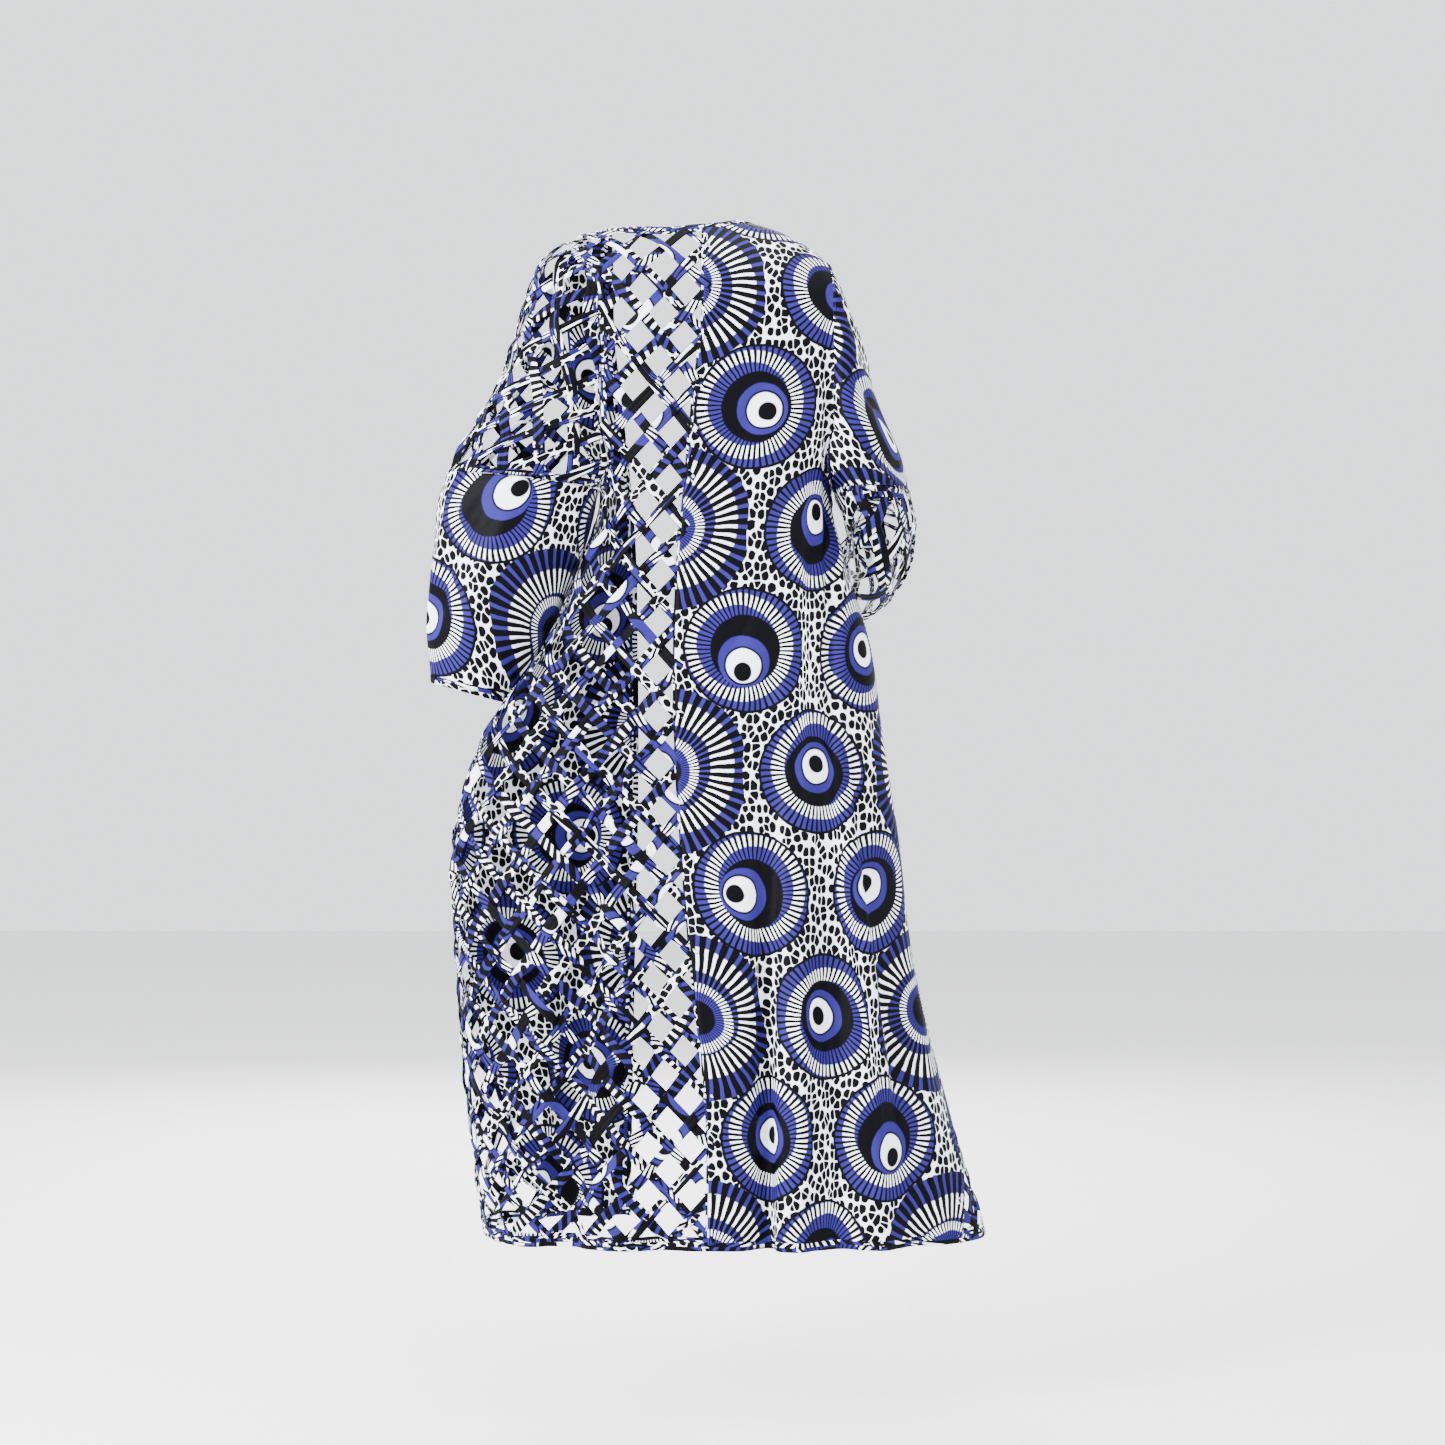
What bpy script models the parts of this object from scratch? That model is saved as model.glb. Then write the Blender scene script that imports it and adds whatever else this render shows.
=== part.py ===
"""Duster coat in the hollow form that it has when worn, open down the front.

Whole printed cotton and open lattice of folded bias strips take turns round the coat.
Units are metres, +Z is up, the front faces -Y and the wearer's left is +X. The origin
lies between the shoulders, at the height of the neckline.
"""
import math
from collections import namedtuple

import bmesh
import bpy
import numpy as np
from mathutils import Vector
from mathutils.geometry import delaunay_2d_cdt

# Lengths of the whole coat
HEM = -1.300
UNDERARM = -0.335
YOKE = -0.120
RIDGE_Y = -0.010

# Cloth and seams
CLOTH_WALL = 0.0016
STRIP_WALL = 0.0022
BINDING_WALL = 0.0026
BINDING_WIDTH = 0.012
SEAM_GAP = 0.0004
ELBOW_GAP = 0.0011
UNDERARM_STEP = 0.0040
SHOULDER_STEP = 0.0010
NECK_END_TURN = 0.004

# Neckline, an oval seen from above
NECK_X = 0.035
NECK_HALF_WIDTH = 0.087
NECK_BACK_DEPTH = 0.065
NECK_BINDING_DEPTH = 0.0085

# Lattice of bias strips
LATTICE_WIDE = 0.055
LATTICE_HIGH = 0.060
STRIP_WIDTH = 0.015
HOLE_MARGIN = 0.005

# Lay of each lattice: a gap's centre on the flat cloth, and the turn of the strips
Lay = namedtuple("Lay", "u v turn")
BACK_LAY = Lay(0.000, -1.260, 0)
SLEEVE_LAY = Lay(0.010, -0.200, 16)
FOREARM_LAY = Lay(0.000, -0.060, 0)

# Fineness of the meshes
ROUNDNESS = 2.4
COLUMN_STEP = 0.026
ROW_STEP = 0.070
EDGE_STEP = 0.036
SLEEVE_STEP = 0.024
ARMHOLE_ROWS = 12
YOKE_SHARES = (0.25, 0.5, 0.75)
NECK_STEPS = 8
SECTION_STEPS = 320
RING_STEPS = 120
NUDGE = 0.0002
SHARP_ANGLE = math.radians(50)

# Level sections of the body, from hem to yoke. Seams are angles from the centre back,
# to the wearer's left; the centre seam and the two front edges are places across.
Body = namedtuple("Body", "height centre half_width back front seam_x left_seam right_seam "
                          "left_edge_x right_edge_x")
BODY_ROWS = (
    Body(-1.300, -0.039, 0.325, 0.150, 0.150, -0.009, 134, -58, 0.101, -0.150),
    Body(-1.130, -0.002, 0.310, 0.147, 0.148, -0.009, 121, -86, 0.098, -0.118),
    Body(-0.950, 0.026, 0.296, 0.140, 0.145, 0.010, 108, -92, 0.095, -0.085),
    Body(-0.780, 0.037, 0.287, 0.130, 0.140, 0.024, 100, -93, 0.091, -0.055),
    Body(-0.660, 0.029, 0.260, 0.118, 0.135, 0.031, 96, -93, 0.090, -0.035),
    Body(-0.530, -0.004, 0.208, 0.108, 0.128, 0.032, 93, -92, 0.091, -0.022),
    Body(-0.420, -0.011, 0.167, 0.105, 0.125, 0.027, 91, -91, 0.092, -0.018),
    Body(-0.335, -0.014, 0.149, 0.105, 0.125, 0.019, 90, -90, 0.098, -0.020),
    Body(-0.250, -0.010, 0.192, 0.108, 0.125, 0.011, 90, -90, 0.107, -0.032),
    Body(-0.120, 0.000, 0.235, 0.112, 0.112, -0.004, 90, -90, 0.122, -0.052),
)

# Height of the shoulder ridge across the coat, the wearer's right first
Ridge = namedtuple("Ridge", "x height")
RIDGE_ROWS = (
    Ridge(-0.225, -0.100),
    Ridge(-0.162, -0.043),
    Ridge(-0.124, -0.014),
    Ridge(-0.052, 0.013),
    Ridge(0.035, 0.020),
    Ridge(0.122, 0.005),
    Ridge(0.176, -0.013),
    Ridge(0.225, -0.050),
)

# Height below which the armhole edge rounds off to the underarm
ARMHOLE_TURN = -0.265

# Soft vertical folds of the body: face 1 is the back and -1 the front, a negative depth
# is a trough, and each fold fades out at its top and towards the sides of the coat.
FOLD_GROWTH = 1.4
FOLD_FADE_Y = 0.06
Fold = namedtuple("Fold", "face hem_x top_x top depth width")
FOLDS = (
    Fold(1, -0.074, -0.090, -0.45, -0.018, 0.020),
    Fold(1, -0.116, -0.125, -0.50, 0.012, 0.026),
    Fold(1, -0.172, -0.150, -0.42, -0.014, 0.024),
    Fold(1, -0.222, -0.180, -0.55, 0.012, 0.026),
    Fold(1, -0.274, -0.205, -0.60, -0.012, 0.022),
    Fold(1, 0.050, 0.045, -0.60, -0.008, 0.028),
    Fold(1, 0.112, 0.080, -0.50, 0.010, 0.028),
    Fold(1, 0.172, 0.112, -0.48, -0.014, 0.024),
    Fold(1, 0.226, 0.150, -0.55, 0.012, 0.024),
    Fold(-1, 0.140, 0.118, -0.38, -0.012, 0.022),
    Fold(-1, 0.186, 0.135, -0.48, 0.012, 0.026),
    Fold(-1, 0.236, 0.160, -0.55, -0.014, 0.024),
    Fold(-1, -0.186, -0.060, -0.38, -0.010, 0.024),
    Fold(-1, -0.226, -0.095, -0.42, 0.012, 0.024),
    Fold(-1, -0.272, -0.130, -0.50, -0.014, 0.024),
    Fold(-1, -0.318, -0.165, -0.58, 0.008, 0.020),
)

# The armhole edges and the outer line of each upper sleeve, from underarm to shoulder
Upper = namedtuple("Upper", "height back_x front_x outer_x half_depth lean rise")
LEFT_UPPER = (
    Upper(-0.335, 0.134, 0.150, 0.334, 0.088, 0.000, 0.022),
    Upper(-0.290, 0.132, 0.155, 0.311, 0.090, 0.000, 0.018),
    Upper(-0.218, 0.132, 0.166, 0.272, 0.094, 0.000, 0.010),
    Upper(-0.120, 0.133, 0.176, 0.242, 0.096, 0.000, 0.000),
    Upper(-0.075, 0.139, 0.177, 0.228, 0.080, 0.000, 0.000),
    Upper(-0.040, 0.157, 0.178, 0.214, 0.050, 0.000, 0.000),
    Upper(-0.014, 0.178, 0.178, 0.180, 0.000, 0.000, 0.000),
)
RIGHT_UPPER = (
    Upper(-0.335, -0.163, -0.163, -0.269, 0.115, -0.070, 0.000),
    Upper(-0.296, -0.162, -0.162, -0.260, 0.112, -0.055, 0.000),
    Upper(-0.231, -0.162, -0.162, -0.230, 0.104, -0.030, 0.000),
    Upper(-0.120, -0.163, -0.163, -0.192, 0.090, 0.000, 0.000),
    Upper(-0.070, -0.162, -0.162, -0.174, 0.060, 0.000, 0.000),
    Upper(-0.041, -0.158, -0.158, -0.160, 0.000, 0.000, 0.000),
)

# Rings of the lower sleeves, from the elbow seam to the cuff. The outward half of a ring
# is half_x and half_z, its back and front points stand either side of its middle, and
# lean pushes its outer side forward.
Lower = namedtuple("Lower", "along x half_x half_z back_y back_z front_y front_z lean")
LEFT_LOWER = (
    Lower(0.030, 0.2465, 0.0985, 0.0105, 0.088, -0.354, -0.091, -0.354, 0.000),
    Lower(0.080, 0.2560, 0.0960, 0.0100, 0.086, -0.402, -0.096, -0.402, 0.000),
    Lower(0.160, 0.2760, 0.0840, 0.0110, 0.063, -0.480, -0.093, -0.480, 0.000),
    Lower(0.225, 0.2940, 0.0680, 0.0130, 0.038, -0.545, -0.082, -0.545, 0.000),
    Lower(0.280, 0.3120, 0.0455, 0.0130, 0.017, -0.599, -0.073, -0.599, 0.000),
)
RIGHT_LOWER = (
    Lower(0.029, -0.2270, -0.0480, 0.0000, 0.100, -0.385, -0.127, -0.345, -0.050),
    Lower(0.073, -0.2380, -0.0400, 0.0000, 0.040, -0.450, -0.145, -0.353, -0.020),
    Lower(0.123, -0.2260, -0.0400, 0.0000, -0.050, -0.490, -0.162, -0.363, 0.000),
    Lower(0.194, -0.2040, -0.0400, 0.0000, -0.150, -0.499, -0.200, -0.386, 0.000),
    Lower(0.257, -0.1860, -0.0400, 0.0000, -0.225, -0.501, -0.249, -0.404, 0.000),
)

# Colours of the plain solids
BLUE_PRINT = (0.16, 0.17, 0.48, 1.0)
LATTICE_BLUE = (0.10, 0.11, 0.36, 1.0)
BINDING_BLACK = (0.02, 0.02, 0.04, 1.0)
CLOTH_ROUGHNESS = 0.72


class Table:
    """Rows of sizes, read at any key on a smooth curve; the first column is the key."""

    def __init__(self, rows):
        self.kind = type(rows[0])
        self.rows = np.array(rows, dtype=float)
        self.keys = self.rows[:, 0]
        self.slopes = np.gradient(self.rows, self.keys, axis=0)

    def at(self, key):
        key = min(max(key, self.keys[0]), self.keys[-1])
        low = min(max(int(np.searchsorted(self.keys, key)) - 1, 0), len(self.keys) - 2)
        span = self.keys[low + 1] - self.keys[low]
        s = (key - self.keys[low]) / span
        start = (1 + 2 * s) * (1 - s) ** 2 * self.rows[low]
        start_slope = s * (1 - s) ** 2 * span * self.slopes[low]
        end = s * s * (3 - 2 * s) * self.rows[low + 1]
        end_slope = s * s * (s - 1) * span * self.slopes[low + 1]
        return self.kind(*(start + start_slope + end + end_slope))


BODY = Table(BODY_ROWS)
RIDGE = Table(RIDGE_ROWS)
UPPER = {1: Table(LEFT_UPPER), -1: Table(RIGHT_UPPER)}
TOP_OF_SLEEVE = {1: LEFT_UPPER[-1], -1: RIGHT_UPPER[-1]}


def signed_power(value, power):
    return math.copysign(abs(value) ** power, value)


def smooth_step(value):
    value = min(max(value, 0.0), 1.0)
    return value * value * (3 - 2 * value)


def spread(start, end, step):
    """Return evenly spaced values from start to end, at most a step apart."""
    count = max(int(math.ceil(abs(end - start) / step)), 1)
    return [start + (end - start) * i / count for i in range(count + 1)]


def fold_depth(x, y, height):
    """Return how far the folds push the cloth out at a place on the body."""
    total = 0.0
    for fold in FOLDS:
        grown = (fold.top - height) / (fold.top - HEM)
        if grown <= 0:
            continue
        centre = fold.top_x + (fold.hem_x - fold.top_x) * grown
        facing = smooth_step(y * fold.face / FOLD_FADE_Y)
        bump = math.exp(-((x - centre) / fold.width) ** 2)
        total += fold.depth * smooth_step(grown * FOLD_GROWTH) * facing * bump
    return total


def body_section(angle, height):
    """Return a point of a level section, at an angle from the centre back."""
    row = BODY.at(height)
    power = 2 / ROUNDNESS
    across = signed_power(math.sin(angle), power)
    along = signed_power(math.cos(angle), power)
    depth = row.back if along > 0 else row.front
    x = row.centre + row.half_width * across
    y = depth * along
    normal = Vector((signed_power(across, ROUNDNESS - 1) / row.half_width,
                     signed_power(along, ROUNDNESS - 1) / depth, 0)).normalized()
    return Vector((x, y, height)) + normal * fold_depth(x, y, height)


def angle_at_x(x, height, face):
    """Return the angle at which a section passes a place across, on the back or front."""
    row = BODY.at(height)
    share = min(max((x - row.centre) / row.half_width, -1.0), 1.0)
    angle = math.asin(signed_power(share, ROUNDNESS / 2))
    return angle if face > 0 else math.copysign(math.pi, angle) - angle


ring_lengths = {}


def section_lengths(height, datum):
    """Return the angles round a section and the cloth's length to each from its datum.

    The datum of the back is its centre seam, 0; that of a front is the centre of the
    front, 1 for the wearer's left and -1 for the right.
    """
    key = (round(height, 5), datum)
    if key not in ring_lengths:
        angles = np.linspace(-1.2 * math.pi, 1.2 * math.pi, SECTION_STEPS + 1)
        points = np.array([body_section(angle, height) for angle in angles])
        steps = np.linalg.norm(np.diff(points, axis=0), axis=1)
        lengths = np.concatenate([[0.0], np.cumsum(steps)])
        start = datum * math.pi or angle_at_x(BODY.at(height).seam_x, height, 1)
        ring_lengths[key] = (angles, lengths - np.interp(start, angles, lengths))
    return ring_lengths[key]


def datum_of(side, face):
    return 0 if face > 0 else side


def length_at(angle, height, datum):
    angles, lengths = section_lengths(height, datum)
    return float(np.interp(angle, angles, lengths))


def yoke_length(foot):
    """Return the length of the cloth from the yoke line up to the shoulder ridge."""
    rise = RIDGE.at(foot.x).height - YOKE
    reach = foot.y - RIDGE_Y
    return math.pi / 2 * math.sqrt((rise * rise + reach * reach) / 2)


def body_cloth(u, v, datum=0):
    """Place a point of the body's cloth: u from its datum to the wearer's left, v up."""
    level = min(v, YOKE)
    angles, lengths = section_lengths(level, datum)
    foot = body_section(float(np.interp(u, lengths, angles)), level)
    if v <= YOKE:
        return foot
    turn = (v - YOKE) / yoke_length(foot) * math.pi / 2
    rise = RIDGE.at(foot.x).height - YOKE
    y = RIDGE_Y + (foot.y - RIDGE_Y) * math.cos(turn)
    return Vector((foot.x, y, YOKE + rise * math.sin(turn)))


def left_front(u, v):
    return body_cloth(u, v, 1)


def right_front(u, v):
    return body_cloth(u, v, -1)


CLOTH = {(1, 1): body_cloth, (-1, 1): body_cloth, (1, -1): left_front, (-1, -1): right_front}


def cloth_at(side, face, x, z):
    """Return u and v of the body's cloth at a place across and a height."""
    level = min(z, YOKE)
    angle = angle_at_x(x, level, face)
    u = length_at(angle, level, datum_of(side, face))
    if z <= YOKE:
        return u, z
    foot = body_section(angle, level)
    rise = RIDGE.at(foot.x).height - YOKE
    turn = math.asin(min((z - YOKE) / rise, 1.0))
    return u, YOKE + turn / (math.pi / 2) * yoke_length(foot)


def ridge_at(side, face, x):
    """Return u and v of the body's cloth just below the shoulder ridge."""
    u, v = cloth_at(side, face, x, 1.0)
    return u, v - SEAM_GAP / 2


def armhole_heights(side):
    """Return the heights of the armhole's points, from the underarm to the shoulder."""
    top = (LEFT_UPPER if side > 0 else RIGHT_UPPER)[-1].height
    steps = [i / ARMHOLE_ROWS for i in range(ARMHOLE_ROWS + 1)]
    return [UNDERARM + (top - UNDERARM) * (1 - math.cos(math.pi * s)) / 2 for s in steps]


def edge_x(side, height, face):
    row = UPPER[side].at(height)
    return row.back_x if face > 0 else row.front_x


def armhole_angle(side, height, face):
    """Return the body's angle at the armhole edge, which rounds off at the underarm."""
    level = max(min(height, YOKE), ARMHOLE_TURN)
    straight = angle_at_x(edge_x(side, max(height, ARMHOLE_TURN), face), level, face)
    if height >= ARMHOLE_TURN:
        return straight
    depth = (ARMHOLE_TURN - height) / (ARMHOLE_TURN - UNDERARM)
    under = side * math.pi / 2
    return under + (straight - under) * math.sqrt(max(1 - depth * depth, 0.0))


def armhole_edge(side, height, face):
    """Return u and v of the body's cloth on the armhole edge."""
    if height > YOKE:
        return cloth_at(side, face, edge_x(side, height, face), height)
    return length_at(armhole_angle(side, height, face), height, datum_of(side, face)), height


def upper_row(side, height):
    """Return the sizes of an upper sleeve's row: its table row, middle, half widths to the
    back and front edges, half depth and the turn where it starts."""
    row = UPPER[side].at(height)
    back = body_cloth(*armhole_edge(side, height, 1))
    front = CLOTH[side, -1](*armhole_edge(side, height, -1))
    half = (back.y - front.y) / 2
    depth = max(row.half_depth, half)
    start = math.asin(min(half / depth, 1.0)) if depth > 1e-6 else math.pi / 2
    high = smooth_step((height - YOKE) / (TOP_OF_SLEEVE[side].height - YOKE))
    step = side * (SEAM_GAP + UNDERARM_STEP * math.cos(start) + SHOULDER_STEP * high)
    widths = [(row.outer_x - edge.x - step) / (1 + math.cos(start)) for edge in (back, front)]
    return row, (back.y + front.y) / 2, widths, depth, start


def upper_sleeve(turn, height, values):
    """Place a point of an upper sleeve: turn goes from the body's back round to its front."""
    row, middle, widths, depth, start = values
    width = widths[0] if turn < math.pi else widths[1]
    share = (math.cos(start) - math.cos(turn)) / (1 + math.cos(start))
    return Vector((row.outer_x - width * (1 + math.cos(turn)),
                   middle + depth * math.sin(turn) + row.lean * share,
                   height + row.rise * share))


row_lengths = {}


def upper_lengths(side, height):
    """Return the turns along a sleeve row and the cloth's length to each from the outer line."""
    key = (side, round(height, 5))
    if key not in row_lengths:
        values = upper_row(side, height)
        turns = np.linspace(values[-1], 2 * math.pi - values[-1], RING_STEPS + 1)
        points = np.array([upper_sleeve(turn, height, values) for turn in turns])
        steps = np.linalg.norm(np.diff(points, axis=0), axis=1)
        lengths = np.concatenate([[0.0], np.cumsum(steps)])
        row_lengths[key] = (turns, lengths - np.interp(math.pi, turns, lengths), values)
    return row_lengths[key]


def upper_cloth(side):
    """Return the map of an upper sleeve's cloth: u from its outer line to the front, v up."""
    def place(u, v):
        turns, lengths, values = upper_lengths(side, v)
        return upper_sleeve(float(np.interp(u, lengths, turns)), v, values)
    return place


def lower_table(side):
    """Return a lower sleeve's rings; the first one continues the upper sleeve."""
    row, middle, widths, depth, _ = upper_row(side, UNDERARM)
    level = UNDERARM + row.rise / 2 - ELBOW_GAP
    first = Lower(0.0, row.outer_x - widths[0], widths[0], row.rise / 2,
                  middle + depth, level, middle - depth, level, row.lean)
    return Table((first,) + (LEFT_LOWER if side > 0 else RIGHT_LOWER))


def lower_sleeve(table, turn, along):
    """Place a point of a lower sleeve: turn goes round it from the inner line by the back."""
    ring = table.at(along)
    outward = -math.cos(turn)
    back = math.sin(turn) / 2
    return Vector((ring.x + outward * ring.half_x,
                   (ring.back_y + ring.front_y) / 2 + back * (ring.back_y - ring.front_y)
                   + ring.lean * (1 + outward) / 2,
                   (ring.back_z + ring.front_z) / 2 + back * (ring.back_z - ring.front_z)
                   + outward * ring.half_z))


def lower_tube(side):
    """Return the map of a lower sleeve: the turn round it and the length along it."""
    table = lower_table(side)

    def place(turn, along):
        return lower_sleeve(table, turn, along)

    return place


def lower_cloth(side):
    """Return the map of a lower sleeve's cloth: u from its outer line to the front, v up."""
    table = lower_table(side)
    lengths_at = {}

    def place(u, v):
        key = round(v, 5)
        if key not in lengths_at:
            turns = np.linspace(0, 2 * math.pi, RING_STEPS + 1)
            points = np.array([lower_sleeve(table, turn, -v) for turn in turns])
            steps = np.linalg.norm(np.diff(points, axis=0), axis=1)
            lengths = np.concatenate([[0.0], np.cumsum(steps)])
            lengths_at[key] = (turns, lengths - np.interp(math.pi, turns, lengths))
        turns, lengths = lengths_at[key]
        return lower_sleeve(table, float(np.interp(u, lengths, turns)), -v)

    def edge(v):
        place(0.0, v)
        return float(lengths_at[round(v, 5)][1][-1])

    return place, edge


def elbow_turns(side):
    """Return the turns of the points round the seam between the upper and lower sleeve."""
    turns, lengths, _ = upper_lengths(side, UNDERARM)
    back = spread(float(lengths[0]), 0.0, SLEEVE_STEP)
    front = spread(0.0, float(lengths[-1]), SLEEVE_STEP)
    return [float(np.interp(u, lengths, turns)) for u in back + front[1:-1]]


def fabric(name, colour):
    """Return a plain cloth material."""
    material = bpy.data.materials.new(name)
    material.use_nodes = True
    shader = material.node_tree.nodes["Principled BSDF"]
    shader.inputs["Base Color"].default_value = colour
    shader.inputs["Roughness"].default_value = CLOTH_ROUGHNESS
    shader.inputs["Metallic"].default_value = 0.0
    return material


def across_cloth(place, u, v):
    """Return the direction straight through the cloth at a point of it."""
    along_u = place(u + NUDGE, v) - place(u - NUDGE, v)
    along_v = place(u, v + NUDGE) - place(u, v - NUDGE)
    return along_v.cross(along_u).normalized()


def sew_wall(name, spots, faces, place, wall, material):
    """Lay flat spots and faces on their form, as one closed wall of cloth."""
    shape = bmesh.new()
    sides = []
    for sign in (1, -1):
        sides.append([shape.verts.new(place(u, v) + across_cloth(place, u, v) * sign * wall / 2)
                      for u, v in spots])
    outer, inner = sides
    uses = {}
    for face in faces:
        shape.faces.new([outer[i] for i in face])
        shape.faces.new([inner[i] for i in reversed(face)])
        for i, j in zip(face, face[1:] + face[:1]):
            uses[min(i, j), max(i, j)] = None if (min(i, j), max(i, j)) in uses else (i, j)
    for i, j in filter(None, uses.values()):
        shape.faces.new((outer[j], outer[i], inner[i], inner[j]))
    loose = [vert for vert in shape.verts if not vert.link_faces]
    bmesh.ops.delete(shape, geom=loose, context="VERTS")
    bmesh.ops.triangulate(shape, faces=shape.faces)
    bmesh.ops.recalc_face_normals(shape, faces=shape.faces)
    mesh = bpy.data.meshes.new(name)
    shape.to_mesh(mesh)
    shape.free()
    mesh.shade_smooth()
    mesh.set_sharp_from_angle(angle=SHARP_ANGLE)
    mesh.materials.append(material)
    piece = bpy.data.objects.new(name, mesh)
    bpy.context.scene.collection.objects.link(piece)
    return piece


def inside(outline, u, v):
    """Tell whether a point lies inside a closed outline."""
    crossings = 0
    for (u0, v0), (u1, v1) in zip(outline, outline[1:] + outline[:1]):
        if (v0 > v) != (v1 > v) and u < u0 + (v - v0) / (v1 - v0) * (u1 - u0):
            crossings += 1
    return crossings % 2 == 1


def distance_to(outline, u, v):
    """Return a point's distance from the nearest side of an outline."""
    best = 1.0
    for (u0, v0), (u1, v1) in zip(outline, outline[1:] + outline[:1]):
        du, dv = u1 - u0, v1 - v0
        size = du * du + dv * dv
        s = min(max(((u - u0) * du + (v - v0) * dv) / size, 0.0), 1.0) if size else 0.0
        best = min(best, math.hypot(u - u0 - s * du, v - v0 - s * dv))
    return best


def hole_corners(lay, column, row):
    """Return the corners of one gap between the strips, half a pitch for each step."""
    side = math.hypot(LATTICE_WIDE, LATTICE_HIGH) / 2
    share = 1 - STRIP_WIDTH / (LATTICE_WIDE * LATTICE_HIGH / (2 * side))
    turn = math.radians(lay.turn)
    corners = []
    for du, dv in ((share, 0), (0, share), (-share, 0), (0, -share)):
        u = (column + du) * LATTICE_WIDE / 2
        v = (row + dv) * LATTICE_HIGH / 2
        corners.append((lay.u + u * math.cos(turn) - v * math.sin(turn),
                        lay.v + u * math.sin(turn) + v * math.cos(turn)))
    return corners


def lattice_holes(outline, lay):
    """Return the gaps of a lattice that lie wholly inside an outline."""
    reach = max(math.hypot(u - lay.u, v - lay.v) for u, v in outline)
    count = int(reach / (LATTICE_WIDE / 2)) + 1
    holes = []
    for column in range(-count, count + 1):
        for row in range(-count, count + 1):
            corners = hole_corners(lay, column, row)
            if (column + row) % 2 == 0 and all(
                    inside(outline, u, v) and distance_to(outline, u, v) > HOLE_MARGIN
                    for u, v in corners):
                holes.append(corners)
    return holes


def cut_cloth(name, outline, place, wall, material, holes=()):
    """Make a piece of cloth from its flat outline and holes, and lay it on its form."""
    points = [Vector(p) for p in outline]
    edges = []
    for corners in holes:
        first = len(points)
        points += [Vector(corner) for corner in corners]
        edges += [(first + i, first + (i + 1) % len(corners)) for i in range(len(corners))]
    us = [p[0] for p in outline]
    vs = [p[1] for p in outline]
    for row, v in enumerate(spread(min(vs), max(vs), ROW_STEP)):
        shift = COLUMN_STEP / 2 * (row % 2)
        for u in spread(min(us) - COLUMN_STEP + shift, max(us) + shift, COLUMN_STEP):
            clear = inside(outline, u, v) and distance_to(outline, u, v) > COLUMN_STEP / 2
            if clear and not any(inside(corners, u, v)
                                 or distance_to(corners, u, v) < COLUMN_STEP / 2
                                 for corners in holes):
                points.append(Vector((u, v)))
    ring = list(range(len(outline)))
    flat, _, found, *_ = delaunay_2d_cdt(points, edges, [ring], 1, 1e-6)
    faces = []
    for face in found:
        u = sum(flat[i].x for i in face) / len(face)
        v = sum(flat[i].y for i in face) / len(face)
        if not any(inside(corners, u, v) for corners in holes):
            faces.append(list(face))
    return sew_wall(name, [(p.x, p.y) for p in flat], faces, place, wall, material)


def tube_cloth(name, turns, rows, place, wall, material):
    """Make a tube of cloth from the turns round it and the rows along it."""
    spots = [(turn, row) for row in rows for turn in turns]
    count = len(turns)
    faces = []
    for row in range(len(rows) - 1):
        for i in range(count):
            j = (i + 1) % count
            faces.append([row * count + i, row * count + j,
                          (row + 1) * count + j, (row + 1) * count + i])
    return sew_wall(name, spots, faces, place, wall, material)


HEM_TOP = HEM + BINDING_WIDTH + SEAM_GAP
INSET = BINDING_WIDTH + SEAM_GAP
PANEL_HEIGHTS = spread(UNDERARM, HEM_TOP, ROW_STEP)
FRONT_HEIGHTS = spread(YOKE, HEM_TOP, ROW_STEP)
SEAM_OF_SIDE = {1: "left_seam", -1: "right_seam"}


def side_seam_u(side, height, face):
    """Return u of a side seam's edge, on the back piece or the front piece."""
    angle = math.radians(getattr(BODY.at(height), SEAM_OF_SIDE[side]))
    return length_at(angle, height, datum_of(side, face)) - face * side * SEAM_GAP / 2


def front_edge(side, height, inset):
    """Return u and v on a front, an inset back from the edge of the opening."""
    level = min(height, YOKE)
    row = BODY.at(level)
    x = row.left_edge_x if side > 0 else row.right_edge_x
    return length_at(angle_at_x(x, level, -1), level, side) - side * inset, height


def front_yoke(side, share, inset):
    """Return u and v on a front above the yoke line, at a share of the way to the ridge."""
    u, _ = front_edge(side, YOKE, inset)
    foot = CLOTH[side, -1](u, YOKE)
    return u, YOKE + share * yoke_length(foot) - SEAM_GAP / 2 * (share == 1)


def neck_point(turn, extra):
    """Return u and v by the neckline; turn is 0 at the centre back, 90 at the shoulders."""
    x = NECK_X + (NECK_HALF_WIDTH + extra) * math.sin(turn)
    deep = NECK_BACK_DEPTH + extra * NECK_BINDING_DEPTH / BINDING_WIDTH
    angle = angle_at_x(x, YOKE, 1)
    foot = body_section(angle, YOKE)
    bend = math.acos(min(deep * math.cos(turn) / (foot.y - RIDGE_Y), 1.0))
    return length_at(angle, YOKE, 0), YOKE + bend / (math.pi / 2) * yoke_length(foot)


def neck_turns(side):
    """Return the turns along the neckline from the centre seam to one shoulder."""
    seam = BODY.at(YOKE).seam_x + side * SEAM_GAP / 2
    start = math.asin((seam - NECK_X) / (NECK_HALF_WIDTH + INSET))
    end = side * (math.pi / 2 - NECK_END_TURN)
    return [start + (end - start) * i / NECK_STEPS for i in range(NECK_STEPS + 1)]


def ridge_points(side, face):
    """Return u and v along the shoulder seam, from the neck binding to the armhole."""
    start = NECK_X + side * (NECK_HALF_WIDTH + INSET)
    end = TOP_OF_SLEEVE[side].back_x
    return [ridge_at(side, face, x) for x in spread(start, end, EDGE_STEP)]


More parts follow.
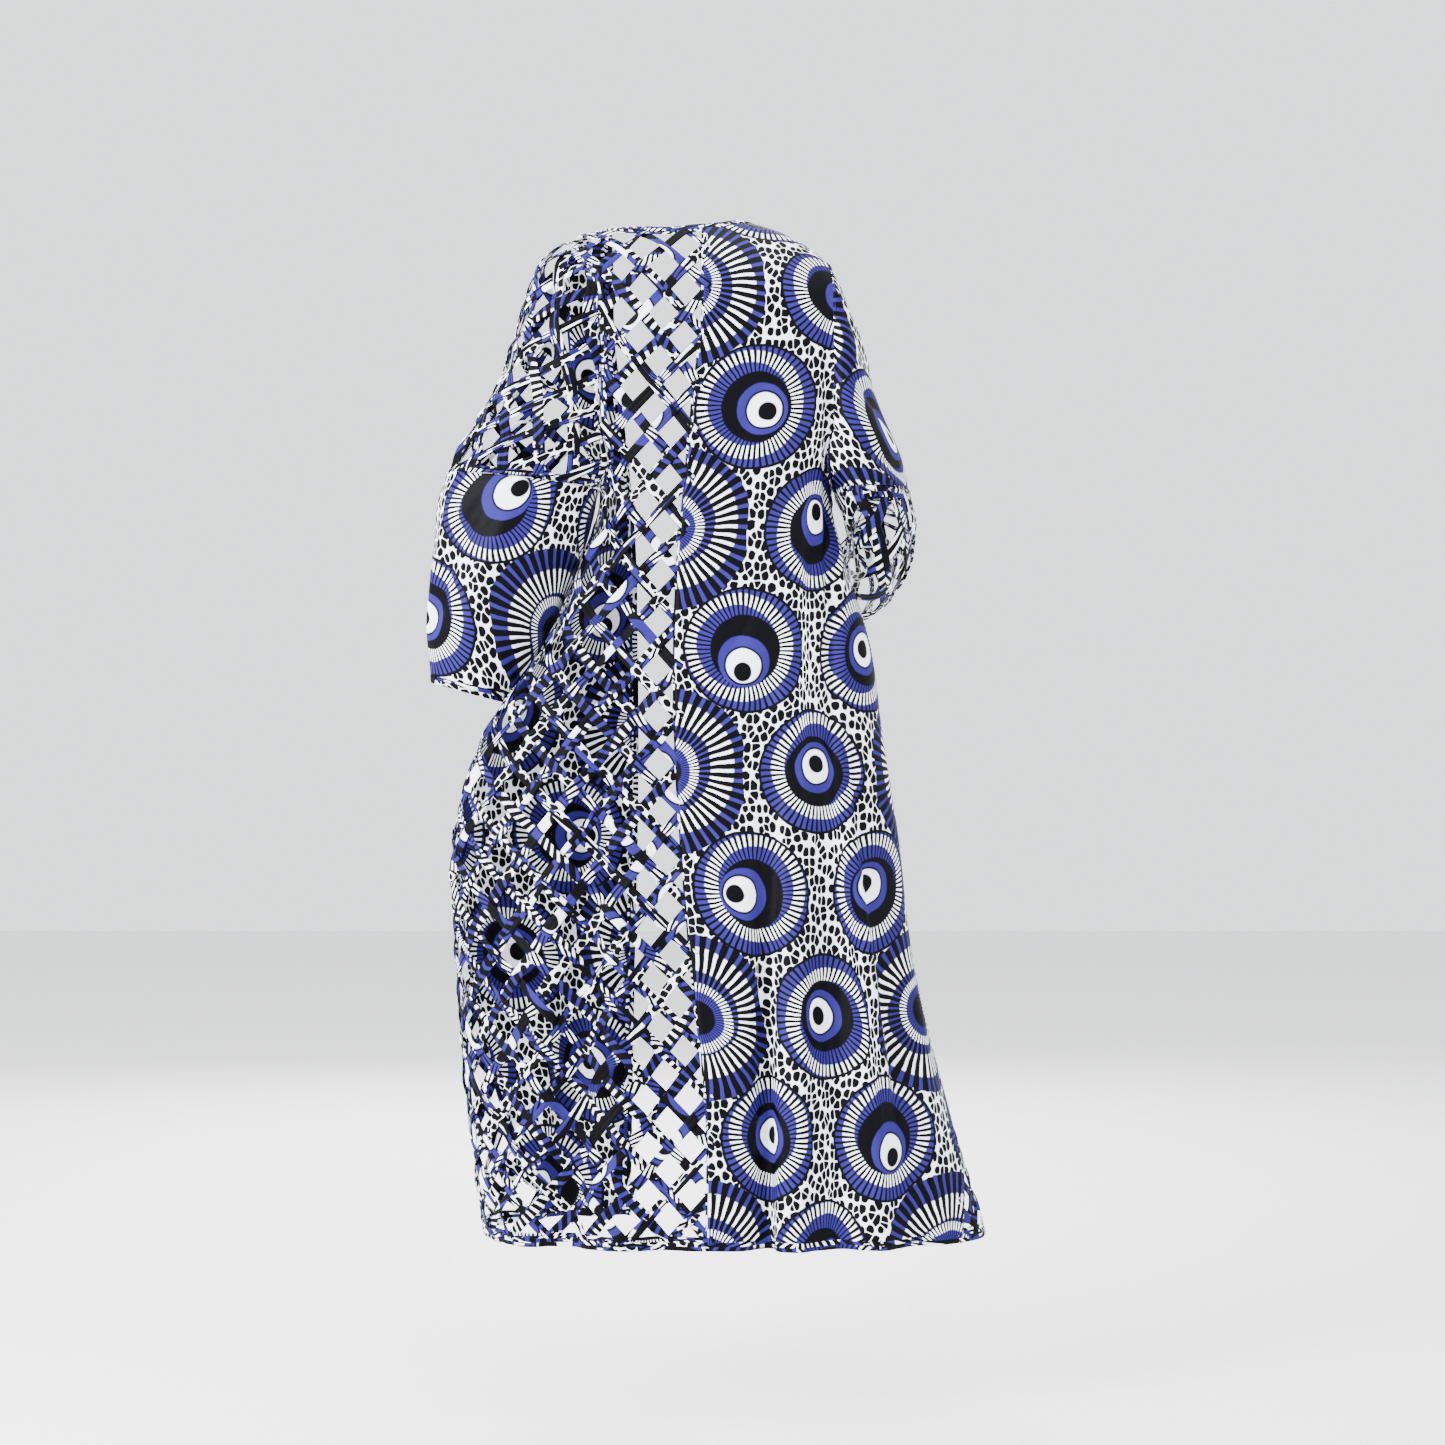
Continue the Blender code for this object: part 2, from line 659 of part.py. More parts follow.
def armhole_points(side, face):
    """Return u and v down the armhole edge, from below the shoulder to above the underarm."""
    return [armhole_edge(side, height, face) for height in reversed(armhole_heights(side)[1:-1])]


def panel_foot(side, face, height):
    """Return u and v across the foot of a back or front panel, from its side seam."""
    seam = side_seam_u(side, HEM_TOP, face)
    end = side * SEAM_GAP / 2 if face > 0 else front_edge(side, HEM_TOP, INSET)[0]
    count = len(spread(seam, end, EDGE_STEP)) - 1
    seam = side_seam_u(side, height, face)
    end = side * SEAM_GAP / 2 if face > 0 else front_edge(side, height, INSET)[0]
    return [(seam + (end - seam) * i / count, height) for i in range(count + 1)]


def back_outline(side):
    """Return the flat outline of one half of the back."""
    seam = side * SEAM_GAP / 2
    first_turn = neck_turns(side)[0]
    neck_v = neck_point(first_turn, INSET)[1]
    outline = [(seam, height) for height in reversed(PANEL_HEIGHTS)]
    outline += [(seam, height) for height in spread(UNDERARM, YOKE, ROW_STEP)[1:]]
    outline += [(seam, YOKE + (neck_v - YOKE) * share) for share in YOKE_SHARES]
    outline += [(seam, neck_v)]
    outline += [neck_point(turn, INSET) for turn in neck_turns(side)[1:-1]]
    outline += ridge_points(side, 1) + armhole_points(side, 1)
    outline += [(side_seam_u(side, height, 1), height) for height in PANEL_HEIGHTS[:-1]]
    outline += panel_foot(side, 1, HEM_TOP)[:-1]
    return outline


def front_outline(side):
    """Return the flat outline of one front."""
    outline = [front_edge(side, height, INSET) for height in reversed(FRONT_HEIGHTS)]
    outline += [front_yoke(side, share, INSET) for share in YOKE_SHARES]
    outline += ridge_points(side, -1) + armhole_points(side, -1)
    outline += [(side_seam_u(side, height, -1), height) for height in PANEL_HEIGHTS[:-1]]
    outline += panel_foot(side, -1, HEM_TOP)[:-1]
    return outline


def upper_edge(side, face):
    """Return u and v up a sleeve's armhole edge, on its back or front."""
    edge = []
    for height in armhole_heights(side)[:-1]:
        lengths = upper_lengths(side, height)[1]
        edge.append((float(lengths[0] if face > 0 else lengths[-1]), height))
    under_u, under_v = edge[0]
    return [(under_u + face * SEAM_GAP / 2, under_v)] + edge[1:]


def half_upper_outline(side, face):
    """Return the flat outline of the back or front half of an upper sleeve."""
    edge = upper_edge(side, face)
    outer = [(-face * SEAM_GAP / 2, height) for height in armhole_heights(side)]
    base = [(u, UNDERARM) for u in spread(edge[0][0], outer[0][0], SLEEVE_STEP)]
    return edge + list(reversed(outer))[1:] + list(reversed(base))[1:-1]


def whole_upper_outline(side):
    """Return the flat outline of an upper sleeve in one piece."""
    back = upper_edge(side, 1)
    front = upper_edge(side, -1)
    base = spread(front[0][0], 0.0, SLEEVE_STEP) + spread(0.0, back[0][0], SLEEVE_STEP)[1:]
    top = [(0.0, TOP_OF_SLEEVE[side].height)]
    return back + top + list(reversed(front)) + [(u, UNDERARM) for u in base[1:-1]]


def half_lower_outline(face, edge, start, end):
    """Return the flat outline of the back or front half of a lower sleeve."""
    heights = spread(start, end, EDGE_STEP)
    gap = face * SEAM_GAP / 2
    inner = [(gap - face * edge(v), v) for v in heights]
    outer = [(-gap, v) for v in heights]
    head = [(u, start) for u in spread(inner[0][0], outer[0][0], SLEEVE_STEP)][1:-1]
    foot = [(u, end) for u in spread(inner[-1][0], outer[-1][0], SLEEVE_STEP)][1:-1]
    return head + outer + list(reversed(foot)) + list(reversed(inner))


def body_pieces(print_cloth, lattice):
    """Make the two halves of the back and the two fronts."""
    outline = back_outline(1)
    cut_cloth("back_left_lattice", outline, body_cloth, STRIP_WALL, lattice,
              lattice_holes(outline, BACK_LAY))
    cut_cloth("back_right_panel", back_outline(-1), body_cloth, CLOTH_WALL, print_cloth)
    cut_cloth("front_left_panel", front_outline(1), left_front, CLOTH_WALL, print_cloth)
    cut_cloth("front_right_lattice", front_outline(-1), right_front, STRIP_WALL, lattice)


def left_sleeve(print_cloth, lattice, binding):
    """Make the left sleeve: lattice above the elbow and whole cloth below."""
    place = upper_cloth(1)
    for face, name in ((1, "left_sleeve_upper_back"), (-1, "left_sleeve_upper_front")):
        outline = half_upper_outline(1, face)
        cut_cloth(name, outline, place, STRIP_WALL, lattice, lattice_holes(outline, SLEEVE_LAY))
    tube = lower_tube(1)
    end = LEFT_LOWER[-1].along
    turns = elbow_turns(1)
    tube_cloth("left_sleeve_lower", turns, spread(0.0, end - INSET, EDGE_STEP), tube,
               CLOTH_WALL, print_cloth)
    tube_cloth("left_cuff_binding", turns, [end - BINDING_WIDTH, end], tube, BINDING_WALL,
               binding)


def right_sleeve(print_cloth, lattice, binding):
    """Make the right sleeve: whole cloth above the elbow and lattice below."""
    cut_cloth("right_sleeve_upper", whole_upper_outline(-1), upper_cloth(-1), CLOTH_WALL,
              print_cloth)
    place, edge = lower_cloth(-1)
    end = RIGHT_LOWER[-1].along
    for face, name in ((1, "right_sleeve_lower_back"), (-1, "right_sleeve_lower_front")):
        outline = half_lower_outline(face, edge, 0.0, INSET + SEAM_GAP - end)
        cut_cloth(name, outline, place, STRIP_WALL, lattice, lattice_holes(outline, FOREARM_LAY))
    tube_cloth("right_cuff_binding", elbow_turns(-1), [end - BINDING_WIDTH, end],
               lower_tube(-1), BINDING_WALL, binding)


def bindings(binding):
    """Make the bias strips round the neck, down the fronts and along the hem."""
    turns = list(reversed(neck_turns(-1)))[:-1] + neck_turns(1)
    outline = [neck_point(turn, 0.0) for turn in turns]
    outline += [neck_point(turn, BINDING_WIDTH) for turn in reversed(turns)]
    cut_cloth("neck_binding", outline, body_cloth, BINDING_WALL, binding)
    for side, name in ((1, "left"), (-1, "right")):
        strip = []
        for inset in (0.0, BINDING_WIDTH):
            line = [front_edge(side, height, inset) for height in [HEM] + FRONT_HEIGHTS[::-1]]
            line += [front_yoke(side, share, inset) for share in YOKE_SHARES + (1,)]
            strip.append(line)
        cut_cloth("front_binding_" + name, strip[0] + strip[1][::-1], CLOTH[side, -1],
                  BINDING_WALL, binding)
        for face, part in ((1, "back"), (-1, "front")):
            band = panel_foot(side, face, HEM)
            band += panel_foot(side, face, HEM + BINDING_WIDTH)[::-1]
            cut_cloth("hem_binding_" + part + "_" + name, band, CLOTH[side, face],
                      BINDING_WALL, binding)


def main():
    for old in list(bpy.data.objects):
        bpy.data.objects.remove(old)
    print_cloth = fabric("printed_cotton", BLUE_PRINT)
    lattice = fabric("lattice_strips", LATTICE_BLUE)
    binding = fabric("bias_binding", BINDING_BLACK)
    body_pieces(print_cloth, lattice)
    left_sleeve(print_cloth, lattice, binding)
    right_sleeve(print_cloth, lattice, binding)
    bindings(binding)


main()
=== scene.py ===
"""Duster coat in printed cotton: whole cloth and open lattice of folded bias strips.

Every piece of cloth is laid on one hollow form, that of the coat when it is worn. Units are
metres, and millimetres in the tables that in_metres reads. +Z is up, the front faces -Y and
the wearer's left is +X.
"""

import math
import random
from collections import namedtuple

import bmesh
import bpy
import numpy as np
from bpy.props import FloatProperty, FloatVectorProperty, PointerProperty
from mathutils import Matrix, Vector


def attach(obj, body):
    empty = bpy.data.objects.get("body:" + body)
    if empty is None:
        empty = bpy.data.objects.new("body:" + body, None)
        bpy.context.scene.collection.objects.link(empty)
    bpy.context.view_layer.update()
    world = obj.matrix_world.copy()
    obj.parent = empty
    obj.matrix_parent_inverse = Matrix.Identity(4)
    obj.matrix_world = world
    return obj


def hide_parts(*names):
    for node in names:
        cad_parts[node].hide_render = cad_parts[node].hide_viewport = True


bl_info = {
    "name": "Duster Coat",
    "version": (1, 0, 0),
    "blender": (4, 5, 0),
    "location": "View3D > Sidebar > Coat",
    "description": "Sews a wax-print duster coat with lattice panels on its worn form",
    "category": "Object",
}

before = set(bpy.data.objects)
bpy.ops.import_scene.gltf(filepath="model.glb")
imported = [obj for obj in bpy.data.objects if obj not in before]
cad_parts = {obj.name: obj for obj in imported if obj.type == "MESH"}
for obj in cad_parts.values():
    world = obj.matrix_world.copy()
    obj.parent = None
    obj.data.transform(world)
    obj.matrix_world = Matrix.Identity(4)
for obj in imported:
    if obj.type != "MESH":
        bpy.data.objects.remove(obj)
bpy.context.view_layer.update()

# Heights of the hem, the underarm and the yoke line, and where the shoulder ridge stands
HEM = -1.300
UNDERARM = -0.335
YOKE = -0.120
RIDGE_Y = -0.010

# Gaps at the seams, how far a sleeve steps out at its underarm and at the shoulder, and how
# wide a binding shows
SEAM_GAP = 0.0004
ELBOW_GAP = 0.0011
UNDERARM_STEP = 0.0040
SHOULDER_STEP = 0.0010
BINDING_WIDTH = 0.012

# Neckline, an oval seen from above
NECK_X = 0.035
NECK_HALF_WIDTH = 0.087
NECK_BACK_DEPTH = 0.065
NECK_BINDING_DEPTH = 0.0085
NECK_END_TURN = 0.004

# Lattice of bias strips: from one gap to the next across and down, and along a strip
LATTICE_WIDE = 0.055
LATTICE_HIGH = 0.060
LATTICE_PITCH = math.hypot(LATTICE_WIDE, LATTICE_HIGH) / 2

# Lay of each lattice: a gap's centre on the flat cloth, and the turn of the strips
Lay = namedtuple("Lay", "u v turn")
BACK_LAY = Lay(0.000, -1.260, 0)
FRONT_LAY = Lay(0.300, -1.260, 0)
SLEEVE_LAY = Lay(0.010, -0.200, 16)
FOREARM_LAY = Lay(0.000, -0.060, 0)

# Power of the body's rounded sections, and where the armhole turns in to the underarm
ROUNDNESS = 2.4
ARMHOLE_TURN = -0.265

# Columns of the tables that aren't lengths: which way a piece faces, and two angles
PLAIN_COLUMNS = ("face", "left_seam", "right_seam")


def in_metres(kind, *rows):
    """Return a table's rows, their lengths turned from millimetres to metres."""
    return tuple(kind(*(size if column in PLAIN_COLUMNS else size / 1000
                        for column, size in zip(kind._fields, row))) for row in rows)


# Level sections of the body, from hem to yoke. Seams are angles from the centre back,
# to the wearer's left; the centre seam and the two front edges are places across.
Body = namedtuple("Body", "height centre half_width back front seam_x left_seam right_seam "
                          "left_edge_x right_edge_x")
BODY_ROWS = in_metres(
    Body,
    (-1300, -39, 325, 150, 150, -9, 134, -58, 101, -150),
    (-1130, -2, 310, 147, 148, -9, 121, -86, 98, -118),
    (-950, 26, 296, 140, 145, 10, 108, -92, 95, -85),
    (-780, 37, 287, 130, 140, 24, 100, -93, 91, -55),
    (-660, 29, 260, 118, 135, 31, 96, -93, 90, -35),
    (-530, -4, 208, 108, 128, 32, 93, -92, 91, -22),
    (-420, -11, 167, 105, 125, 27, 91, -91, 92, -18),
    (-335, -14, 149, 105, 125, 19, 90, -90, 98, -20),
    (-250, -10, 192, 108, 125, 11, 90, -90, 107, -32),
    (-120, 0, 235, 112, 112, -4, 90, -90, 122, -52))

# Height of the shoulder ridge across the coat, the wearer's right first
Ridge = namedtuple("Ridge", "x height")
RIDGE_ROWS = in_metres(
    Ridge,
    (-225, -100),
    (-162, -43),
    (-124, -14),
    (-52, 13),
    (35, 20),
    (122, 5),
    (176, -13),
    (225, -50))

# Soft vertical folds of the body: face 1 is the back and -1 the front, a negative depth
# is a trough, and each fold fades out at its top and towards the sides of the coat.
FOLD_GROWTH = 1.4
FOLD_FADE_Y = 0.06
Fold = namedtuple("Fold", "face hem_x top_x top depth width")
FOLDS = in_metres(
    Fold,
    (1, -74, -90, -450, -18, 20),
    (1, -116, -125, -500, 12, 26),
    (1, -172, -150, -420, -14, 24),
    (1, -222, -180, -550, 12, 26),
    (1, -274, -205, -600, -12, 22),
    (1, 50, 45, -600, -8, 28),
    (1, 112, 80, -500, 10, 28),
    (1, 172, 112, -480, -14, 24),
    (1, 226, 150, -550, 12, 24),
    (-1, 140, 118, -380, -12, 22),
    (-1, 186, 135, -480, 12, 26),
    (-1, 236, 160, -550, -14, 24),
    (-1, -186, -60, -380, -10, 24),
    (-1, -226, -95, -420, 12, 24),
    (-1, -272, -130, -500, -14, 24),
    (-1, -318, -165, -580, 8, 20))

# Creases of the body in the same terms, finer than the folds: the height at either end,
# the place across at either end, how deep and how wide
Crease = namedtuple("Crease", "face low_x low top_x top depth width")
CREASES = in_metres(
    Crease,
    (1, -80, -1320, -74, -850, -11, 8),
    (1, -94, -1320, -104, -620, 3, 7),
    (1, -140, -1320, -136, -880, -4, 8),
    (1, -196, -1320, -176, -700, 3.5, 8),
    (1, -246, -1320, -214, -950, -3.5, 9),
    (1, -298, -1320, -268, -850, 3, 8),
    (1, -20, -580, -120, -360, -3, 12),
    (1, -44, -700, -132, -430, -3.5, 11),
    (1, -100, -600, -140, -300, 4, 10),
    (1, -161, -640, -156, -60, -8, 6),
    (1, -176, -620, -172, -100, 4, 7),
    (1, -242, -1080, -168, -540, -8, 7),
    (1, -228, -1060, -156, -600, 4, 7),
    (1, -30, -300, -110, -150, -2.5, 14),
    (1, 90, -620, 130, -330, -3.5, 10),
    (1, 82, -1320, 70, -850, 3, 9),
    (1, 148, -1320, 110, -720, 3, 8),
    (1, 200, -1320, 160, -900, -3.5, 8),
    (1, 256, -1320, 205, -780, 3, 9),
    (-1, 120, -1320, 112, -700, 3, 8),
    (-1, 162, -1320, 134, -620, -3.5, 8),
    (-1, 212, -1320, 170, -800, 3.5, 9),
    (-1, 262, -1320, 215, -900, -3, 8),
    (-1, -206, -1320, -100, -660, -3, 8),
    (-1, -250, -1320, -150, -800, 3.5, 9),
    (-1, -296, -1320, -200, -720, -3, 8))

# The armhole edges and the outer line of each upper sleeve, from underarm to shoulder
Upper = namedtuple("Upper", "height back_x front_x outer_x half_depth lean rise")
LEFT_UPPER = in_metres(
    Upper,
    (-335, 134, 150, 334, 88, 0, 22),
    (-290, 132, 155, 311, 90, 0, 18),
    (-218, 132, 166, 272, 94, 0, 10),
    (-120, 133, 176, 242, 96, 0, 0),
    (-75, 139, 177, 228, 80, 0, 0),
    (-40, 157, 178, 214, 50, 0, 0),
    (-14, 178, 178, 180, 0, 0, 0))
RIGHT_UPPER = in_metres(
    Upper,
    (-335, -163, -163, -269, 115, -70, 0),
    (-296, -162, -162, -260, 112, -55, 0),
    (-231, -162, -162, -230, 104, -30, 0),
    (-120, -163, -163, -192, 90, 0, 0),
    (-70, -162, -162, -174, 60, 0, 0),
    (-41, -158, -158, -160, 0, 0, 0))

# Rings of the lower sleeves, from the elbow seam to the cuff. The outward half of a ring
# is half_x and half_z, its back and front points stand either side of its middle, and
# lean pushes its outer side forward.
Lower = namedtuple("Lower", "along x half_x half_z back_y back_z front_y front_z lean")
LEFT_LOWER = in_metres(
    Lower,
    (30, 244.5, 100.5, 10.5, 88, -354, -91, -354, 0),
    (80, 254.5, 97.5, 10, 86, -402, -96, -402, 0),
    (160, 274, 86, 11, 63, -480, -93, -480, 0),
    (225, 293, 69, 13, 38, -545, -82, -545, 0),
    (280, 310, 47.5, 13, 17, -599, -73, -599, 0))
RIGHT_LOWER = in_metres(
    Lower,
    (29, -227, -48, 0, 100, -385, -127, -345, -50),
    (73, -231, -41, 0, 40, -450, -145, -353, -20),
    (123, -222, -36, 0, -50, -490, -162, -363, 0),
    (194, -204, -40, 0, -150, -499, -200, -386, 0),
    (257, -186, -40, 0, -225, -501, -249, -404, 0))

# Creases of the sleeves on their flat cloth, from one end to the other; u runs from the
# outer line to the front and v up, 0 at the elbow seam on a lower sleeve
Line = namedtuple("Line", "u v end_u end_v depth width")
LEFT_UPPER_CREASES = in_metres(
    Line,
    (-150, -250, -20, -330, -3.5, 12),
    (-140, -300, -50, -345, 3.5, 10),
    (-60, -80, -30, -240, -3, 12),
    (150, -260, 30, -335, -3.5, 12),
    (60, -80, 35, -240, 3, 12))
LEFT_LOWER_CREASES = in_metres(
    Line,
    (-120, -10, -30, -230, -5, 11),
    (-75, -5, -10, -250, 4, 10),
    (-165, -20, -70, -260, 4, 12),
    (-30, -4, 15, -180, -4, 10),
    (30, -6, 20, -240, 4, 11),
    (80, -10, 45, -250, -5, 12),
    (130, -10, 75, -230, 4.5, 12))
RIGHT_UPPER_CREASES = in_metres(
    Line,
    (-200, -270, -50, -320, -4.5, 12),
    (-190, -315, -60, -335, 4, 10),
    (-130, -180, -40, -270, -4, 13),
    (-90, -80, -20, -200, 3.5, 13),
    (150, -260, 40, -325, -4, 12),
    (70, -90, 30, -210, 3.5, 13))
RIGHT_LOWER_CREASES = in_metres(
    Line,
    (-120, -20, -50, -200, -4, 11),
    (-60, -10, -10, -180, 3.5, 10),
    (50, -10, 30, -200, -3.5, 11))


class Table:
    """Rows of sizes, read at any keys on a smooth curve; the first column is the key."""

    def __init__(self, rows):
        self.kind = type(rows[0])
        self.rows = np.array(rows, dtype=float)
        self.keys = self.rows[:, 0]
        self.slopes = np.gradient(self.rows, self.keys, axis=0)

    def at(self, keys):
        """Return a row of sizes for each key."""
        keys = np.clip(np.asarray(keys, dtype=float), self.keys[0], self.keys[-1])
        low = np.clip(np.searchsorted(self.keys, keys) - 1, 0, len(self.keys) - 2)
        span = (self.keys[low + 1] - self.keys[low])[..., None]
        s = (keys - self.keys[low])[..., None] / span
        start = (1 + 2 * s) * (1 - s) ** 2 * self.rows[low]
        start_slope = s * (1 - s) ** 2 * span * self.slopes[low]
        end = s * s * (3 - 2 * s) * self.rows[low + 1]
        end_slope = s * s * (s - 1) * span * self.slopes[low + 1]
        return self.kind(*np.moveaxis(start + start_slope + end + end_slope, -1, 0))


BODY = Table(BODY_ROWS)
RIDGE = Table(RIDGE_ROWS)
UPPER = {1: Table(LEFT_UPPER), -1: Table(RIGHT_UPPER)}
TOP_OF_SLEEVE = {1: LEFT_UPPER[-1], -1: RIGHT_UPPER[-1]}
LOWER_END = {1: LEFT_LOWER[-1].along, -1: RIGHT_LOWER[-1].along}


def signed_power(value, power):
    """Return a power of a value's size, with the value's sign."""
    return np.copysign(np.abs(value) ** power, value)


def smooth_step(value):
    """Return 0 to 1 with a soft start and end, as a value goes from 0 to 1."""
    value = np.clip(value, 0.0, 1.0)
    return value * value * (3 - 2 * value)


def fold_depth(x, y, height):
    """Return how far the folds push the cloth out at places on the body."""
    total = 0.0
    for fold in FOLDS:
        grown = np.maximum((fold.top - height) / (fold.top - HEM), 0.0)
        centre = fold.top_x + (fold.hem_x - fold.top_x) * grown
        facing = smooth_step(y * fold.face / FOLD_FADE_Y)
        bump = np.exp(-((x - centre) / fold.width) ** 2)
        total = total + fold.depth * smooth_step(grown * FOLD_GROWTH) * facing * bump
    return total


def body_section(angle, height):
    """Return points of level sections, at angles from the centre back."""
    row = BODY.at(height)
    across = signed_power(np.sin(angle), 2 / ROUNDNESS)
    along = signed_power(np.cos(angle), 2 / ROUNDNESS)
    depth = np.where(along > 0, row.back, row.front)
    x = row.centre + row.half_width * across
    y = depth * along
    out_x = signed_power(across, ROUNDNESS - 1) / row.half_width
    out_y = signed_power(along, ROUNDNESS - 1) / depth
    push = fold_depth(x, y, height) / np.hypot(out_x, out_y)
    return np.stack([x + out_x * push, y + out_y * push, height + 0 * x], axis=-1)


def angle_at_x(x, height, face):
    """Return the angle at which a section passes a place across, on the back or front."""
    row = BODY.at(height)
    share = np.clip((x - row.centre) / row.half_width, -1.0, 1.0)
    angle = np.arcsin(signed_power(share, ROUNDNESS / 2))
    return angle if face > 0 else np.copysign(math.pi, angle) - angle


# Points along a row of a form, the step over which its slope is taken, and how quickly a
# sleeve's crease rises from its ends
FORM_COLUMNS = 1200
THROUGH_STEP = 0.0015
LINE_TAPER = 4


class Form:
    """Cloth on rows of points: u is the length along a row and v the place up the rows."""

    def __init__(self, levels, rows, middle, outward, creases):
        steps = np.linalg.norm(np.diff(rows, axis=1), axis=2)
        lengths = np.concatenate([np.zeros((len(rows), 1)), np.cumsum(steps, axis=1)], axis=1)
        spots = np.arange(rows.shape[1])
        zero = [np.interp(m, spots, line) for m, line in zip(middle, lengths)]
        self.levels = levels
        self.lengths = lengths - np.array(zero)[:, None]
        self.outward = outward
        self.creases = creases
        shares = np.linspace(0, 1, FORM_COLUMNS)
        self.rows = np.stack([
            np.stack([np.interp(line[0] + shares * (line[-1] - line[0]), line, row[:, k])
                      for k in range(3)], axis=-1)
            for line, row in zip(self.lengths, rows)])

    def read(self, grid, column, v):
        """Return a grid's values at places between its columns and between its rows."""
        step = self.levels[1] - self.levels[0]
        row = (np.asarray(v, dtype=float) - self.levels[0]) / step
        row = np.clip(row, 0, len(self.levels) - 1.0001)
        low = row.astype(int)
        left = np.clip(np.floor(column).astype(int), 0, grid.shape[1] - 2)
        s, t = row - low, column - left
        if grid.ndim == 3:
            s, t = s[..., None], t[..., None]
        below = grid[low, left] * (1 - t) + grid[low, left + 1] * t
        above = grid[low + 1, left] * (1 - t) + grid[low + 1, left + 1] * t
        return below * (1 - s) + above * s

    def ends(self, v):
        """Return u at both ends of the row at v."""
        return [self.read(self.lengths, end, v) for end in (0, self.lengths.shape[1] - 1)]

    def spot(self, u, v):
        """Return points of the form, without its creases."""
        u, v = np.broadcast_arrays(u, v)
        first, last = self.ends(v)
        share = np.clip((u - first) / np.maximum(last - first, 1e-6), 0, 1)
        return self.read(self.rows, share * (FORM_COLUMNS - 1), v)

    def relief(self, u, v, points):
        """Return how far the creases lift the cloth."""
        total = 0.0
        for line in self.creases:
            du = line.end_u - line.u
            dv = line.end_v - line.v
            share = ((u - line.u) * du + (v - line.v) * dv) / (du * du + dv * dv)
            near = np.clip(share, 0, 1)
            off = np.hypot(u - line.u - near * du, v - line.v - near * dv)
            taper = smooth_step(near * LINE_TAPER) * smooth_step((1 - near) * LINE_TAPER)
            total = total + line.depth * taper * np.exp(-(off / line.width) ** 2)
        return total

    def place(self, u, v, lift=0.0):
        """Return points on the cloth, lifted off its middle by so much."""
        points = self.spot(u, v)
        along_u = self.spot(u + THROUGH_STEP, v) - self.spot(u - THROUGH_STEP, v)
        along_v = self.spot(u, v + THROUGH_STEP) - self.spot(u, v - THROUGH_STEP)
        through = np.cross(along_v, along_u) * self.outward
        size = np.maximum(np.linalg.norm(through, axis=-1, keepdims=True), 1e-12)
        rise = self.relief(u, v, points) + lift
        return points + through / size * rise[..., None]


# Rows and columns of the body's form. Its sections run on past the middle of the front,
# so that each front has one whole form.
BODY_LEVELS = 260
BODY_ANGLES = 960
LAST_ANGLE = 1.2 * math.pi
BELOW_HEM = 0.008

# How quickly a crease of the body rises from its low and its top end
LOW_TAPER = 6
TOP_TAPER = 3


class BodyForm(Form):
    """The body's cloth, with u from the centre back seam or from the centre of the front."""

    def __init__(self, datum):
        levels = np.linspace(HEM - BELOW_HEM, YOKE, BODY_LEVELS)
        self.angles = np.linspace(-LAST_ANGLE, LAST_ANGLE, BODY_ANGLES + 1)
        rows = body_section(self.angles[None, :], levels[:, None])
        start = np.full(len(levels), datum * math.pi)
        if datum == 0:
            start = angle_at_x(BODY.at(levels).seam_x, levels, 1)
        super().__init__(levels, rows, self.column(start), 1, ())

    def column(self, angle):
        """Return the column of the sections at an angle."""
        return (angle - self.angles[0]) / (self.angles[1] - self.angles[0])

    def u_at(self, angle, height):
        """Return u at an angle of the section at a height."""
        return self.read(self.lengths, self.column(angle), height)

    def spot(self, u, v):
        """Return points of the form, bent forward over the yoke to the shoulder ridge."""
        foot = super().spot(u, np.minimum(v, YOKE))
        rise = RIDGE.at(foot[..., 0]).height - YOKE
        turn = np.maximum(v - YOKE, 0) / yoke_length(foot) * math.pi / 2
        bent = np.stack([foot[..., 0],
                         RIDGE_Y + (foot[..., 1] - RIDGE_Y) * np.cos(turn),
                         YOKE + rise * np.sin(turn)], axis=-1)
        return np.where(np.asarray(v > YOKE)[..., None], bent, foot)

    def relief(self, u, v, points):
        """Return how far the creases of the body lift the cloth."""
        x, y, height = np.moveaxis(points, -1, 0)
        total = 0.0
        for crease in CREASES:
            share = (height - crease.low) / (crease.top - crease.low)
            centre = crease.low_x + (crease.top_x - crease.low_x) * share
            taper = (smooth_step(share * LOW_TAPER + 1)
                     * smooth_step((1 - share) * TOP_TAPER))
            facing = smooth_step(y * crease.face / FOLD_FADE_Y)
            bump = np.exp(-((x - centre) / crease.width) ** 2)
            total = total + crease.depth * taper * facing * bump
        return total


def yoke_length(foot):
    """Return the length of the cloth from the yoke line up to the shoulder ridge."""
    rise = RIDGE.at(foot[..., 0]).height - YOKE
    reach = foot[..., 1] - RIDGE_Y
    return math.pi / 2 * np.sqrt((rise * rise + reach * reach) / 2)


BACK = BodyForm(0)
FRONT = {1: BodyForm(1), -1: BodyForm(-1)}
CLOTH = {(1, 1): BACK, (-1, 1): BACK, (1, -1): FRONT[1], (-1, -1): FRONT[-1]}


def cloth_at(side, face, x, z):
    """Return u and v of the body's cloth at places across and heights."""
    level = np.minimum(z, YOKE)
    angle = angle_at_x(x, level, face)
    foot = body_section(angle, level)
    rise = RIDGE.at(foot[..., 0]).height - YOKE
    turn = np.arcsin(np.clip((z - YOKE) / rise, 0.0, 1.0))
    v = np.where(z > YOKE, YOKE + turn / (math.pi / 2) * yoke_length(foot), z)
    return np.stack([CLOTH[side, face].u_at(angle, level), v], axis=-1)


